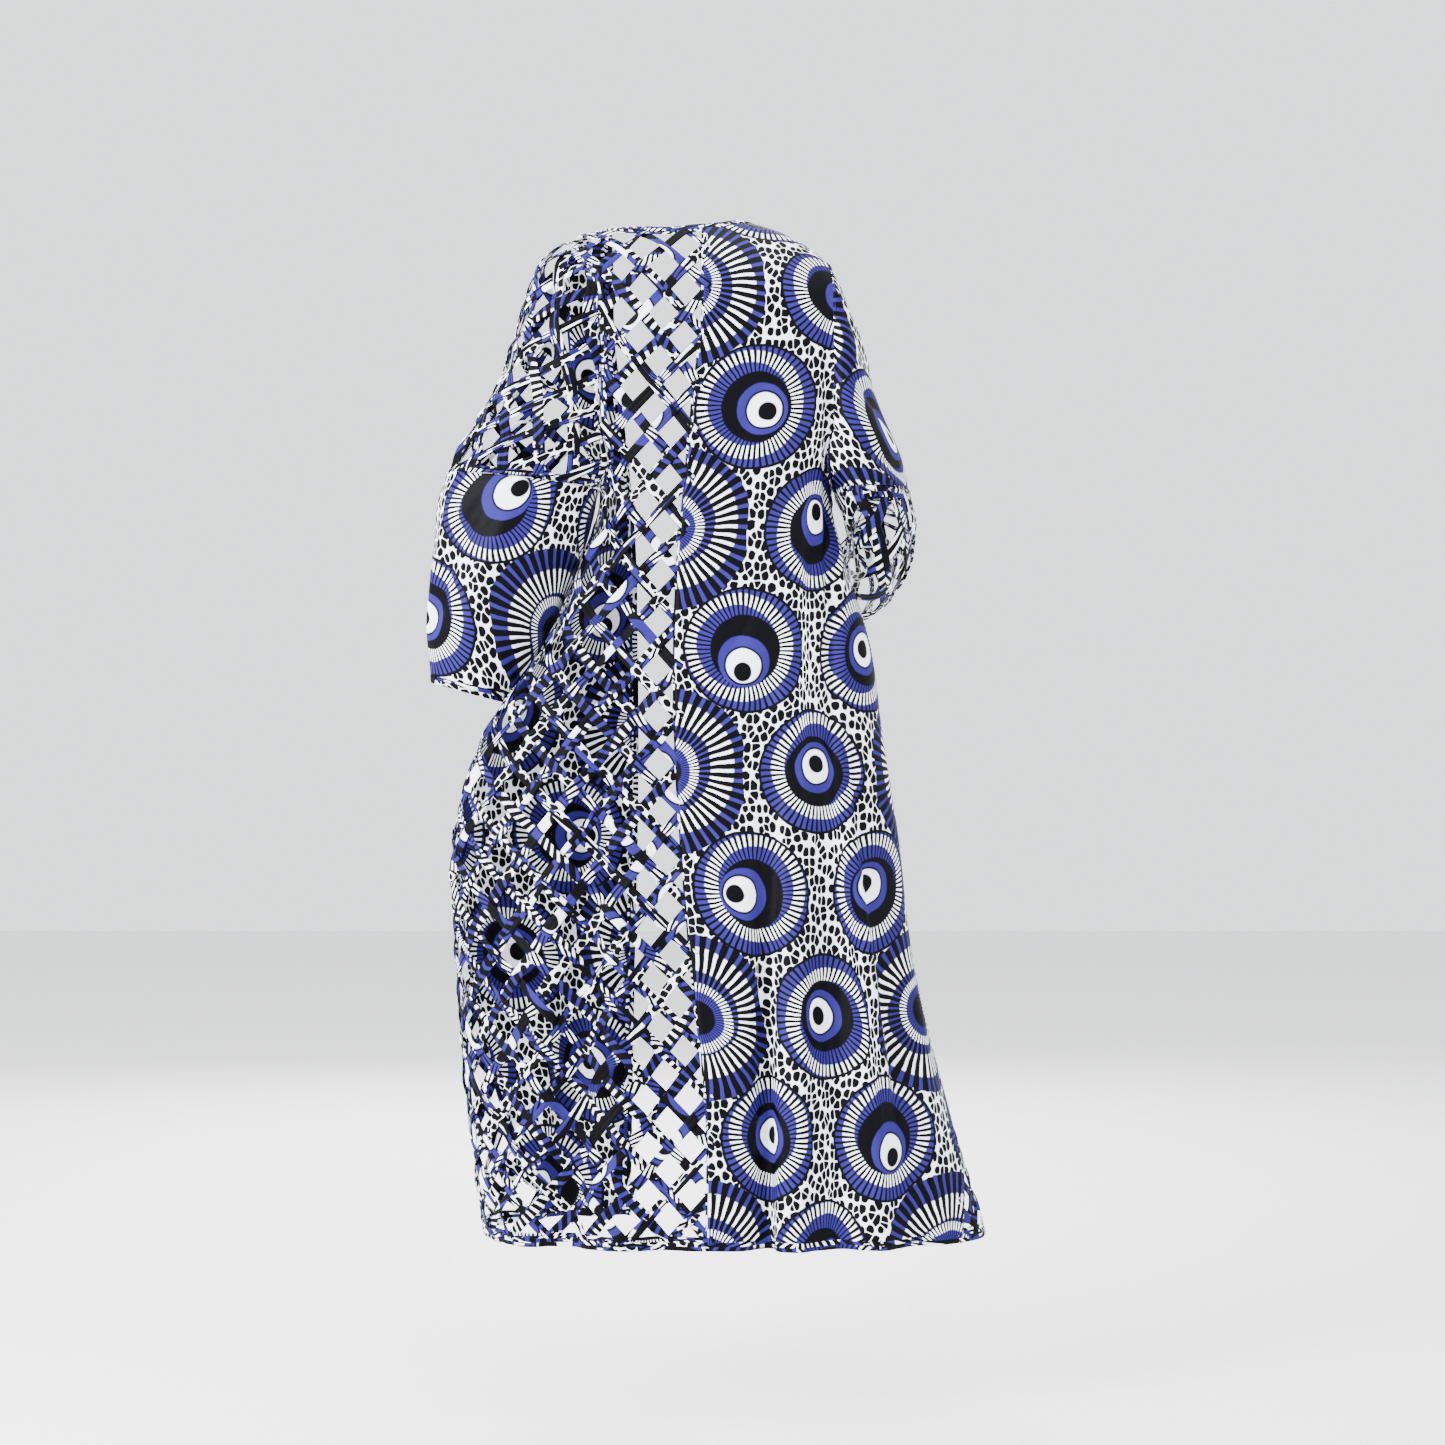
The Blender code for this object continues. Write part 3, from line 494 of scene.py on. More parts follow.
def armhole_edge(side, height, face):
    """Return u and v of the body's cloth on the armhole edge."""
    row = UPPER[side].at(np.maximum(height, ARMHOLE_TURN))
    edge_x = row.back_x if face > 0 else row.front_x
    level = np.clip(height, ARMHOLE_TURN, YOKE)
    straight = angle_at_x(edge_x, level, face)
    depth = np.clip((ARMHOLE_TURN - height) / (ARMHOLE_TURN - UNDERARM), 0, 1)
    under = side * math.pi / 2
    angle = under + (straight - under) * np.sqrt(1 - depth * depth)
    low = np.minimum(height, YOKE)
    below = np.stack([CLOTH[side, face].u_at(angle, low), low], axis=-1)
    above = cloth_at(side, face, edge_x, height)
    return np.where((height > YOKE)[..., None], above, below)


# Rows and columns of the sleeves' forms
UPPER_LEVELS = 140
LOWER_LEVELS = 120
RING_STEPS = 240


def sleeve_rings(side, levels):
    """Return level rings of an upper sleeve: their row of sizes, both ends, depth and start."""
    row = UPPER[side].at(levels)
    back = BACK.spot(*armhole_edge(side, levels, 1).T)
    front = FRONT[side].spot(*armhole_edge(side, levels, -1).T)
    half = (back[:, 1] - front[:, 1]) / 2
    depth = np.maximum(np.maximum(row.half_depth, half), 1e-5)
    start = np.arcsin(np.minimum(half / depth, 1.0))
    high = smooth_step((levels - YOKE) / (TOP_OF_SLEEVE[side].height - YOKE))
    step = side * (SEAM_GAP + UNDERARM_STEP * np.cos(start) + SHOULDER_STEP * high)
    return row, back, front, depth, start, step


def upper_form(side, creases):
    """Return the form of an upper sleeve's cloth."""
    levels = np.linspace(UNDERARM, TOP_OF_SLEEVE[side].height, UPPER_LEVELS)
    row, back, front, depth, start, step = sleeve_rings(side, levels)
    turns = start[:, None] + (2 * math.pi - 2 * start)[:, None] * np.linspace(0, 1, RING_STEPS + 1)
    share = (np.cos(start)[:, None] - np.cos(turns)) / (1 + np.cos(start))[:, None]
    edge_x = np.where(turns < math.pi, back[:, :1], front[:, :1])
    width = (row.outer_x[:, None] - edge_x - step[:, None]) / (1 + np.cos(start))[:, None]
    rows = np.stack([
        row.outer_x[:, None] - width * (1 + np.cos(turns)),
        ((back[:, 1] + front[:, 1]) / 2)[:, None] + depth[:, None] * np.sin(turns)
        + row.lean[:, None] * share,
        levels[:, None] + row.rise[:, None] * share], axis=-1)
    return Form(levels, rows, [RING_STEPS / 2] * len(levels), side, creases)


def lower_form(side, creases):
    """Return the form of a lower sleeve's cloth; its first ring continues the upper sleeve."""
    row, back, front, depth, start, step = sleeve_rings(side, np.array([UNDERARM]))
    width = (row.outer_x - back[:, 0] - step) / (1 + np.cos(start))
    middle = (back[:, 1] + front[:, 1]) / 2
    level = UNDERARM + row.rise / 2 - ELBOW_GAP
    ring = (0 * level, row.outer_x - width, width, row.rise / 2,
            middle + depth, level, middle - depth, level, row.lean)
    first = Lower(*(float(size[0]) for size in ring))
    table = Table((first,) + (LEFT_LOWER if side > 0 else RIGHT_LOWER))
    levels = np.linspace(-LOWER_END[side], 0.0, LOWER_LEVELS)
    ring = table.at(-levels[:, None])
    turns = np.linspace(0, 2 * math.pi, RING_STEPS + 1)[None, :]
    outward = -np.cos(turns)
    swing = np.sin(turns) / 2
    rows = np.stack([
        ring.x + outward * ring.half_x,
        (ring.back_y + ring.front_y) / 2 + swing * (ring.back_y - ring.front_y)
        + ring.lean * (1 + outward) / 2,
        (ring.back_z + ring.front_z) / 2 + swing * (ring.back_z - ring.front_z)
        + outward * ring.half_z], axis=-1)
    return Form(levels, rows, [RING_STEPS / 2] * len(levels), side, creases)


UPPER_FORM = {1: upper_form(1, LEFT_UPPER_CREASES), -1: upper_form(-1, RIGHT_UPPER_CREASES)}
LOWER_FORM = {1: lower_form(1, LEFT_LOWER_CREASES), -1: lower_form(-1, RIGHT_LOWER_CREASES)}

# How each cloth ends, measured from the lines on which the coat is sewn: its low edge, its
# inset from the bound edge, its gaps at the seams, where less than 0 is a lap, and its lap
# into the sleeve
Cut = namedtuple("Cut", "low bound_edge seam side armhole")
CLOTH_CUT, LATTICE_CUT, FRONT_LATTICE_CUT, TAPE_CUT = in_metres(
    Cut,
    (-1292, 8, -5, -5, 3),
    (-1292, 12, -1, 0, -1),
    (-1292, 10, -1, 0, -1),
    (-1286, 15, 4, 4, -4))

# Points along the edges, a height above any of the shoulder ridge, and how quickly the lap
# into a sleeve grows from its ends
OPENING_STEPS = 90
SIDE_STEPS = 60
SEAM_STEPS = 40
NECK_STEPS = 30
SHOULDER_STEPS = 12
ABOVE_RIDGE = 1.0
LAP_TAPER = 12


def side_seam(side, face, heights, gap):
    """Return u and v up a side seam, so far inside the piece."""
    row = BODY.at(heights)
    angle = np.radians(row.left_seam if side > 0 else row.right_seam)
    return np.stack([CLOTH[side, face].u_at(angle, heights) - face * side * gap, heights], axis=-1)


def front_edge(side, inset, low=HEM):
    """Return u and v up the edge of the opening, from the hem to the shoulder."""
    heights = np.linspace(low, YOKE, OPENING_STEPS)
    row = BODY.at(heights)
    x = row.left_edge_x if side > 0 else row.right_edge_x
    u = FRONT[side].u_at(angle_at_x(x, heights, -1), heights) - side * inset
    foot = FRONT[side].spot(u[-1], YOKE)
    above = YOKE + np.linspace(0, 1, SHOULDER_STEPS)[1:] * yoke_length(foot)
    return np.stack([np.append(u, np.full(len(above), u[-1])), np.append(heights, above)], axis=-1)


def neck_edge(extra, start, end, count):
    """Return u and v along the neckline, an extra outside its edge, between two turns."""
    turn = np.linspace(start, end, count)
    x = NECK_X + (NECK_HALF_WIDTH + extra) * np.sin(turn)
    deep = NECK_BACK_DEPTH + extra * NECK_BINDING_DEPTH / BINDING_WIDTH
    angle = angle_at_x(x, YOKE, 1)
    foot = body_section(angle, YOKE)
    bend = np.arccos(np.minimum(deep * np.cos(turn) / (foot[:, 1] - RIDGE_Y), 1.0))
    return np.stack([BACK.u_at(angle, YOKE), YOKE + bend / (math.pi / 2) * yoke_length(foot)],
                    axis=-1)


def neck_start(extra):
    """Return the neckline's turn at the centre back seam."""
    return math.asin((float(BODY.at(YOKE).seam_x) - NECK_X) / (NECK_HALF_WIDTH + extra))


def shoulder(side, face, extra):
    """Return u and v along the shoulder seam, from the neckline to the armhole."""
    neck_x = NECK_X + side * (NECK_HALF_WIDTH + extra)
    x = np.linspace(neck_x, TOP_OF_SLEEVE[side].back_x, SHOULDER_STEPS)
    return cloth_at(side, face, x, np.full(len(x), ABOVE_RIDGE))


def armhole(side, face, lap):
    """Return u and v up the armhole edge, lapped so far into the sleeve but not at its ends."""
    top = TOP_OF_SLEEVE[side].height
    share = (1 - np.cos(np.linspace(0, math.pi, SEAM_STEPS))) / 2
    path = armhole_edge(side, UNDERARM + (top - UNDERARM) * share, face)
    path[:, 0] += face * side * lap * np.minimum(1, LAP_TAPER * share * (1 - share))
    return path


def joined(*paths):
    """Join paths end to end, without the doubled points between them."""
    parts = [paths[0]]
    for path in paths[1:]:
        gap = np.hypot(*(path[0] - parts[-1][-1]))
        parts.append(path if gap > 1e-6 else path[1:])
    return np.concatenate(parts)


def outer_edge(side, face, cut):
    """Return u and v up the outer edge of a body piece: side seam, then armhole."""
    heights = np.linspace(cut.low, UNDERARM, SIDE_STEPS)
    seam = side_seam(side, face, heights, cut.side)
    return joined(seam[:-1], armhole(side, face, cut.armhole))


def level_edge(start, end):
    """Return a straight edge between two points of the flat cloth."""
    return np.linspace(start, end, SEAM_STEPS)


def back_edges(side, cut):
    """Return the edges of one half of the back: hem, top, centre seam and outer edge."""
    neck = cut.bound_edge
    end = side * (math.pi / 2 - NECK_END_TURN)
    outer = outer_edge(side, 1, cut)
    top = joined(neck_edge(neck, neck_start(neck), end, NECK_STEPS), shoulder(side, 1, neck))
    top[-1] = outer[-1]
    seam = level_edge((side * cut.seam, cut.low), (side * cut.seam, top[0, 1]))
    top[0] = seam[-1]
    return level_edge(seam[0], outer[0]), top, seam, outer


def front_edges(side, cut):
    """Return the edges of one front: hem, shoulder, opening and outer edge."""
    opening = front_edge(side, cut.bound_edge, cut.low)
    outer = outer_edge(side, -1, cut)
    inner_x = float(FRONT[side].spot(*opening[-1])[0])
    x = np.linspace(inner_x, TOP_OF_SLEEVE[side].back_x, SHOULDER_STEPS)
    top = cloth_at(side, -1, x, np.full(len(x), ABOVE_RIDGE))
    top[0] = opening[-1]
    top[-1] = outer[-1]
    return level_edge(opening[0], outer[0]), top, opening, outer


def along_path(path, shares):
    """Return points at shares of a path's length."""
    lengths = np.concatenate([[0], np.cumsum(np.hypot(*np.diff(path, axis=0).T))])
    return np.stack([np.interp(shares * lengths[-1], lengths, path[:, k]) for k in (0, 1)],
                    axis=-1)


def between(edges, s, t):
    """Fill in a flat piece between its bottom, top, left and right edges."""
    bottom, top, left, right = edges
    across = s[:, None]
    up = t[:, None]
    spread = ((1 - up) * along_path(bottom, s) + up * along_path(top, s)
              + (1 - across) * along_path(left, t) + across * along_path(right, t))
    return spread - ((1 - across) * (1 - up) * bottom[0] + across * (1 - up) * bottom[-1]
                     + (1 - across) * up * top[0] + across * up * top[-1])


def grids(name, sizes):
    """Make one mesh of flat grids, and return it with each corner's grid and place on it."""
    shape = bmesh.new()
    for index, (across, along) in enumerate(sizes):
        bmesh.ops.create_grid(shape, x_segments=across, y_segments=along, size=0.5,
                              matrix=Matrix.Translation((0, 2 * index, 0)))
    mesh = bpy.data.meshes.new(name)
    shape.to_mesh(mesh)
    shape.free()
    spots = np.empty(len(mesh.vertices) * 3)
    mesh.vertices.foreach_get("co", spots)
    x, y, _ = spots.reshape(-1, 3).T
    which = np.rint(y / 2).astype(int)
    return mesh, which, x + 0.5, y - 2 * which + 0.5


def corner_spots(mesh):
    """Return the vertex of each face corner."""
    spots = np.empty(len(mesh.loops), dtype=np.int32)
    mesh.loops.foreach_get("vertex_index", spots)
    return spots


def lay_out(mesh, points, prints):
    """Move a mesh's vertices to their places and give each face corner its place in the print."""
    mesh.vertices.foreach_set("co", points.ravel())
    layer = mesh.uv_layers.new(name="cloth")
    layer.uv.foreach_set("vector", prints.ravel())
    mesh.update()


def finish_piece(mesh, weld, cap, material, nodes):
    """Close a mesh's seams, make it an object and hide the solids it replaces."""
    shape = bmesh.new()
    shape.from_mesh(mesh)
    if weld:
        bmesh.ops.remove_doubles(shape, verts=shape.verts, dist=weld)
    if cap:
        bmesh.ops.holes_fill(shape, edges=[e for e in shape.edges if e.is_boundary], sides=0)
        bmesh.ops.recalc_face_normals(shape, faces=shape.faces)
    shape.to_mesh(mesh)
    shape.free()
    mesh.shade_smooth()
    mesh.materials.append(material)
    piece = bpy.data.objects.new(mesh.name, mesh)
    bpy.context.scene.collection.objects.link(piece)
    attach(piece, "root")
    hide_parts(*nodes)
    return piece


# Deep folds that hide some of the print: where they start and end, and the cloth they take in
Tuck = namedtuple("Tuck", "low_u low top_u top cloth width")
BACK_TUCKS = in_metres(
    Tuck,
    (-73, -1320, -80, -800, 17, 11),
    (-175, -1320, -150, -750, 8, 12),
    (-160, -600, -156, -60, 12, 7),
    (-238, -1040, -166, -480, 13, 8))

# The length below its low end over which a deep fold fades out
TUCK_END = 0.12

# The wall of whole cloth, the steps of its mesh, how high it is lifted where it laps over the
# next piece, how far from the edge, a height above any lap, and how near its edges are sewn
CLOTH_THICK = 0.0011
PANEL_STEP = 0.0055
LAP = 0.0019
LAP_FADE = 0.009
ABOVE_LAPS = 0.01
SEWN_WITHIN = 0.0002


def folded_in(u, v, tucks):
    """Return how much cloth the deep folds take in between the seam and each place."""
    total = 0.0
    for tuck in tucks:
        share = np.clip((v - tuck.low) / (tuck.top - tuck.low), 0, 1)
        centre = tuck.low_u + (tuck.top_u - tuck.low_u) * share
        fade = (1 - share) * smooth_step((v - tuck.low) / TUCK_END + 1)
        taken = tuck.cloth * fade * np.tanh((u - centre) / tuck.width)
        total = total + taken
    return total


def whole_cloth(name, form, edges, laps, print_shift, nodes, tucks=(), closed=False):
    """Lay a whole piece of printed cloth on its form, with the lift of its four edges."""
    size = [np.hypot(*np.diff(edge, axis=0).T).sum() for edge in edges]
    wide = max(size[0], size[1])
    high = max(size[2], size[3])
    mesh, _, s, t = grids(name, [(int(wide / PANEL_STEP), int(high / PANEL_STEP))])
    u, v = between(edges, s, t).T
    off = (t * high, (1 - t) * high, s * wide, (1 - s) * wide)
    lift = sum(lap * (1 - smooth_step(away / LAP_FADE)) for lap, away in zip(laps, off))
    points = form.place(u, v, lift)
    corners = corner_spots(mesh)
    prints = np.stack([u + folded_in(u, v, tucks) + print_shift[0], v + print_shift[1]],
                      axis=-1)[corners]
    lay_out(mesh, points, prints)
    middle = len(mesh.polygons) // 2
    spot = mesh.polygons[middle].vertices[0]
    through = form.place(u[spot], v[spot], ABOVE_LAPS) - points[spot]
    if mesh.polygons[middle].normal.dot(Vector(through)) < 0:
        mesh.flip_normals()
    piece = finish_piece(mesh, SEWN_WITHIN if closed else 0, False,
                         cloth_material("Printed cotton"), nodes)
    wall = piece.modifiers.new("Cloth thickness", "SOLIDIFY")
    wall.thickness = CLOTH_THICK
    wall.offset = 0.0
    return piece


def outline_of(edges):
    """Return the closed outline that the four edges of a piece make."""
    bottom, top, left, right = edges
    return joined(bottom, right, top[::-1], left[::-1])[:-1]


# Cross sections of folded strips, as shares of the width and of half the thickness. The
# strip of the lattice has its two folded halves side by side, and the binding is one roll.
STRIP_PROFILE = (
    (-0.50, 0.00), (-0.46, 0.70), (-0.28, 1.00), (-0.05, 0.90), (0.00, 0.50), (0.05, 0.90),
    (0.28, 1.00), (0.46, 0.70), (0.50, 0.00), (0.40, -0.85), (0.00, -0.90), (-0.40, -0.85),
)
BINDING_PROFILE = (
    (-0.50, 0.00), (-0.45, 0.70), (-0.28, 1.00), (0.00, 0.95), (0.26, 0.92), (0.40, 0.80),
    (0.47, 0.35), (0.47, -0.35), (0.40, -0.80), (0.10, -0.95), (-0.28, -1.00), (-0.45, -0.70),
)
STRIP_WELD = 0.00002

# A strip's line on the flat cloth, its size, its lift and twist, and where in the print its
# first half is cut, how far from there its other half is, and the turn of its grain
Ribbon = namedtuple("Ribbon", "u v width thick lift twist print_u print_v half_u half_v grain")


def fold_strips(name, form, ribbons, profile, material, nodes):
    """Lay folded strips of cloth along their lines on a form, as one piece."""
    mesh, which, s, t = grids(name, [(len(profile), len(r.u) - 1) for r in ribbons])
    counts = np.array([len(r.u) for r in ribbons])
    first = np.concatenate([[0], np.cumsum(counts)[:-1]])
    column = np.rint(s * len(profile)).astype(int)
    at = first[which] + np.rint(t * (counts[which] - 1)).astype(int)
    every = Ribbon(*(np.concatenate(values) for values in zip(*ribbons)))
    along = [np.stack(np.gradient(np.stack([r.u, r.v]), axis=1)) for r in ribbons]
    tangent = np.concatenate([d / np.hypot(*d) for d in along], axis=1)
    run = np.concatenate([
        np.concatenate([[0], np.cumsum(np.hypot(np.diff(r.u), np.diff(r.v)))]) for r in ribbons])
    shape = np.array(profile + profile[:1])
    across = shape[column, 0] * every.width[at]
    high = shape[column, 1] * every.thick[at]
    turn = every.twist[at]
    aside = across * np.cos(turn) - high * np.sin(turn)
    lift = every.lift[at] + across * np.sin(turn) + high * np.cos(turn)
    u = every.u[at] - tangent[1][at] * aside
    v = every.v[at] + tangent[0][at] * aside
    corners = corner_spots(mesh)
    by_face = column[corners].reshape(-1, 4)
    half = (shape[by_face.min(axis=1), 0] + shape[by_face.min(axis=1) + 1, 0]) > 0
    start = np.repeat(at[corners].reshape(-1, 4).min(axis=1), 4)
    half = np.repeat(half, 4)
    wide = across[corners]
    length = run[at[corners]]
    cos, sin = np.cos(every.grain[start]), np.sin(every.grain[start])
    prints = np.stack([
        every.print_u[start] + half * every.half_u[start] + wide * cos - length * sin,
        every.print_v[start] + half * every.half_v[start] + wide * sin + length * cos],
        axis=-1)
    lay_out(mesh, form.place(u, v, lift), prints)
    return finish_piece(mesh, STRIP_WELD, True, material, nodes)


def crossings(outline, start, end):
    """Return the shares of a line from start to end at which it goes in and out of an outline."""
    ends = np.roll(outline, -1, axis=0) - outline
    line = np.asarray(end) - start
    gap = outline - start
    cross = line[0] * ends[:, 1] - line[1] * ends[:, 0]
    cross = np.where(np.abs(cross) < 1e-12, 1e-12, cross)
    on_line = (gap[:, 0] * ends[:, 1] - gap[:, 1] * ends[:, 0]) / cross
    on_edge = (gap[:, 0] * line[1] - gap[:, 1] * line[0]) / cross
    hits = np.sort(on_line[(on_edge >= 0) & (on_edge < 1) & (on_line > 0) & (on_line < 1)])
    return list(zip(hits[0::2], hits[1::2]))


# Strips are cut along the columns of sunbursts, which stand this far apart on the cloth, or
# so far beside them, and anywhere up a few metres of it
SUN_COLUMN_STEP = 0.400
SUN_COLUMNS = 3
STRIP_ASIDES = (0.0, 0.075, 0.085, 0.092)
TAPE_ASIDES = (-0.040, -0.015, 0.015, 0.040)
CLOTH_LENGTH = 4

# Strips of the lattice: their wall, how far they rise over each other, the shortest one and
# the steps of its mesh, and how far from its ends it lies flat
STRIP_HALF_THICK = 0.0009
WEAVE_RISE = 0.0013
SHORTEST_STRIP = 0.012
STEPS_PER_CROSSING = 8
END_FADE = 0.02

# How strips differ: they bow, twist by one of these degrees and widen in slow waves, and one
# in three shows the print of two different places on its two halves
BOW = 0.0006
BOW_WAVES = (0.3, 0.7)
TWISTS = (4, 7, 11, 24)
TWIST_WAVES = (0.3, 0.8)
WIDENING = 0.05
SPLITS = (0.0, 0.0, 1.0)
HALF_ASIDE = 0.012
HALF_ALONG = (0.05, 0.25)
STRIP_GRAIN = 4
ANY_PHASE = 6


def line_points(lay, family, line, other):
    """Return u and v on a strip's line, which the lines across it meet at odd numbers."""
    p, q = (line, other) if family > 0 else (other, line)
    x = (p + q) / 4 * LATTICE_WIDE
    y = (p - q) / 4 * LATTICE_HIGH
    turn = math.radians(lay.turn)
    return np.stack([lay.u + x * math.cos(turn) - y * math.sin(turn),
                     lay.v + x * math.sin(turn) + y * math.cos(turn)], axis=-1)


def cut_strip(lay, family, line, low, high, width, dice):
    """Return one strip of a lattice, from one place on its line to another."""
    steps = max(int(math.ceil((high - low) / 2 * STEPS_PER_CROSSING)), 2)
    other = np.linspace(low, high, steps + 1)
    points = line_points(lay, family, line, other)
    tangent = (points[-1] - points[0]) / np.hypot(*(points[-1] - points[0]))
    fade = smooth_step(np.minimum(other - low, high - other) * LATTICE_PITCH / END_FADE)
    bow = fade * BOW * np.sin(other * dice.uniform(*BOW_WAVES) + dice.uniform(0, ANY_PHASE))
    weave = np.cos(math.pi * ((line - 1) / 2 + (other - 1) / 2)) * family
    wave = np.sin(other * dice.uniform(*TWIST_WAVES) + dice.uniform(0, ANY_PHASE))
    twist = fade * math.radians(dice.choice(TWISTS)) * wave
    full = np.ones(steps + 1)
    aside = dice.choice((-1, 1)) * dice.choice(STRIP_ASIDES)
    column = SUN_COLUMN_STEP * dice.randint(0, SUN_COLUMNS) + aside
    split = dice.choice(SPLITS) * full
    return Ribbon(
        points[:, 0] - tangent[1] * bow, points[:, 1] + tangent[0] * bow,
        width * (1 + WIDENING * wave), STRIP_HALF_THICK * full,
        WEAVE_RISE * weave * fade, twist,
        column * full, dice.uniform(0, CLOTH_LENGTH) * full,
        dice.uniform(-HALF_ASIDE, HALF_ASIDE) * split, dice.uniform(*HALF_ALONG) * split,
        math.radians(dice.uniform(-STRIP_GRAIN, STRIP_GRAIN)) * full)


def lattice_ribbons(outline, lay, width, dice):
    """Return the strips of a lattice inside an outline, woven over and under each other."""
    reach = np.hypot(*(outline - (lay.u, lay.v)).T).max()
    most = 2 * int(reach / (LATTICE_WIDE / 2)) + 1
    ribbons = []
    for family in (1, -1):
        for line in range(-most, most + 1, 2):
            ends = [line_points(lay, family, line, other) for other in (-2.0 * most, 2.0 * most)]
            for shares in crossings(outline, *ends):
                low, high = (4 * share * most - 2 * most for share in shares)
                if (high - low) / 2 * LATTICE_PITCH >= SHORTEST_STRIP:
                    ribbons.append(cut_strip(lay, family, line, low, high, width, dice))
    return ribbons


# Tapes round a lattice and bindings: the steps of their mesh, how much they widen, rise and
# twist, how many radians of these waves a metre has, the turn of their grain, and how far
# aside and along from the first half the other half is cut
TAPE_STEP = 0.006
TAPE_WIDENING = 0.03
TAPE_RISE = 0.0003
TAPE_TWIST = 0.05
TAPE_WAVES = 90
TAPE_GRAIN = math.radians(12)
TAPE_HALF = (0.01, 0.09)


def tape_ribbon(path, width, thick, piece_length, dice):
    """Return one strip along a path, joined from lengths of cloth cut in several places."""
    length = np.hypot(*np.diff(path, axis=0).T).sum()
    count = max(int(length / TAPE_STEP), 2)
    shares = np.linspace(0, 1, count + 1)
    u, v = along_path(path, shares).T
    full = np.ones(count + 1)
    pieces = np.floor(shares * length / piece_length + dice.uniform(0, 1)).astype(int)
    every = range(pieces.max() + 1)
    across = [SUN_COLUMN_STEP * dice.randint(0, SUN_COLUMNS) + dice.choice(TAPE_ASIDES)
              for _ in every]
    along = [dice.uniform(0, CLOTH_LENGTH) for _ in every]
    wave = np.sin(shares * length * TAPE_WAVES + dice.uniform(0, ANY_PHASE))
    return Ribbon(u, v, width * (1 + TAPE_WIDENING * wave), thick * full, TAPE_RISE * wave,
                  TAPE_TWIST * wave, np.array(across)[pieces], np.array(along)[pieces],
                  TAPE_HALF[0] * full, TAPE_HALF[1] * full, TAPE_GRAIN * full)


# Tapes round a lattice: their width, half their thickness, and the length of cloth that each is
# joined from
TAPE_WIDTH = 0.008
TAPE_HALF_THICK = 0.0008
TAPE_LENGTH = 0.21


def lattice(name, form, edges, tapes, lay, width, seed, nodes):
    """Weave a lattice of folded strips inside the edges of a piece, with tape round it."""
    dice = random.Random(seed)
    ribbons = lattice_ribbons(outline_of(edges), lay, width, dice)
    ribbons += [tape_ribbon(path, TAPE_WIDTH, TAPE_HALF_THICK, TAPE_LENGTH, dice)
                for path in tapes]
    piece = fold_strips(name, form, ribbons, STRIP_PROFILE, cloth_material("Folded strip cotton"),
                        nodes)
    return piece


# Bindings, and the length of cloth that each is joined from
BINDING_HALF_THICK = 0.0015
BINDING_PIECE = 0.13


def bind(name, form, path, seed, nodes):
    """Lay a folded bias binding along an edge."""
    dice = random.Random(seed)
    ribbon = tape_ribbon(path, BINDING_WIDTH, BINDING_HALF_THICK, BINDING_PIECE, dice)
    piece = fold_strips(name, form, [ribbon], BINDING_PROFILE, cloth_material("Binding cotton"),
                        nodes)
    return piece


class Wires:
    """Adds shader nodes to a tree and wires them up."""

    def __init__(self, tree):
        self.tree = tree

    def add(self, kind, inputs=(), **settings):
        node = self.tree.nodes.new(kind)
        for key, value in settings.items():
            setattr(node, key, value)
        for key, value in dict(inputs).items():
            if isinstance(value, bpy.types.NodeSocket):
                self.tree.links.new(value, node.inputs[key])
            else:
                node.inputs[key].default_value = value
        return node

    def math(self, operation, *values):
        node = self.add("ShaderNodeMath", enumerate(values), operation=operation)
        return node.outputs[0]

    def vector(self, operation, *values):
        node = self.add("ShaderNodeVectorMath", enumerate(values), operation=operation)
        return node.outputs[1 if operation == "LENGTH" else 0]

    def scale(self, value, factor):
        node = self.add("ShaderNodeVectorMath", {0: value, "Scale": factor}, operation="SCALE")
        return node.outputs[0]

    def mix(self, share, first, second):
        node = self.add("ShaderNodeMix", {0: share, 6: first, 7: second}, data_type="RGBA")
        return node.outputs[2]

    def blend(self, share, first, second):
        node = self.add("ShaderNodeMix", {0: share, 2: first, 3: second}, data_type="FLOAT")
        return node.outputs[0]

    def above(self, value, edge, soft):
        """Return 0 below an edge and 1 above it, over a soft border."""
        node = self.add("ShaderNodeMapRange", {"Value": value}, interpolation_type="SMOOTHSTEP")
        for key, limit in (("From Min", -soft), ("From Max", soft)):
            if isinstance(edge, bpy.types.NodeSocket):
                self.tree.links.new(self.math("ADD", edge, limit), node.inputs[key])
            else:
                node.inputs[key].default_value = edge + limit
        return node.outputs[0]


# Rings of a motif, from the outside in: the edge as a share of the motif's radius, the colour
# inside it, and how far the ring's centre is moved to one side or along the gaze of its eye
Ring = namedtuple("Ring", "edge colour way reach")
DISC_RINGS = (
    Ring(0.850, "white ticks", "side", 0.0085),
    Ring(0.660, "blue ticks", "side", 0.0105),
    Ring(0.560, "black", "side", 0.0),
    Ring(0.410, "blue", "gaze", 0.030),
    Ring(0.310, "black", "gaze", 0.042),
    Ring(0.275, "white", "gaze", 0.042),
    Ring(0.150, "black", "gaze", 0.060),
)
RAY_RINGS = (
    Ring(0.790, "white", "side", 0.0070),
    Ring(0.520, "blue", "side", 0.0070),
)
CORE_RINGS = (
    Ring(0.420, "white ticks", "side", 0.0),
    Ring(0.320, "blue ticks", "side", 0.0),
    Ring(0.210, "black", "side", 0.0),
)
RIM = 0.955
RING_BORDER = 0.012
MOTIF_BORDER = 0.008

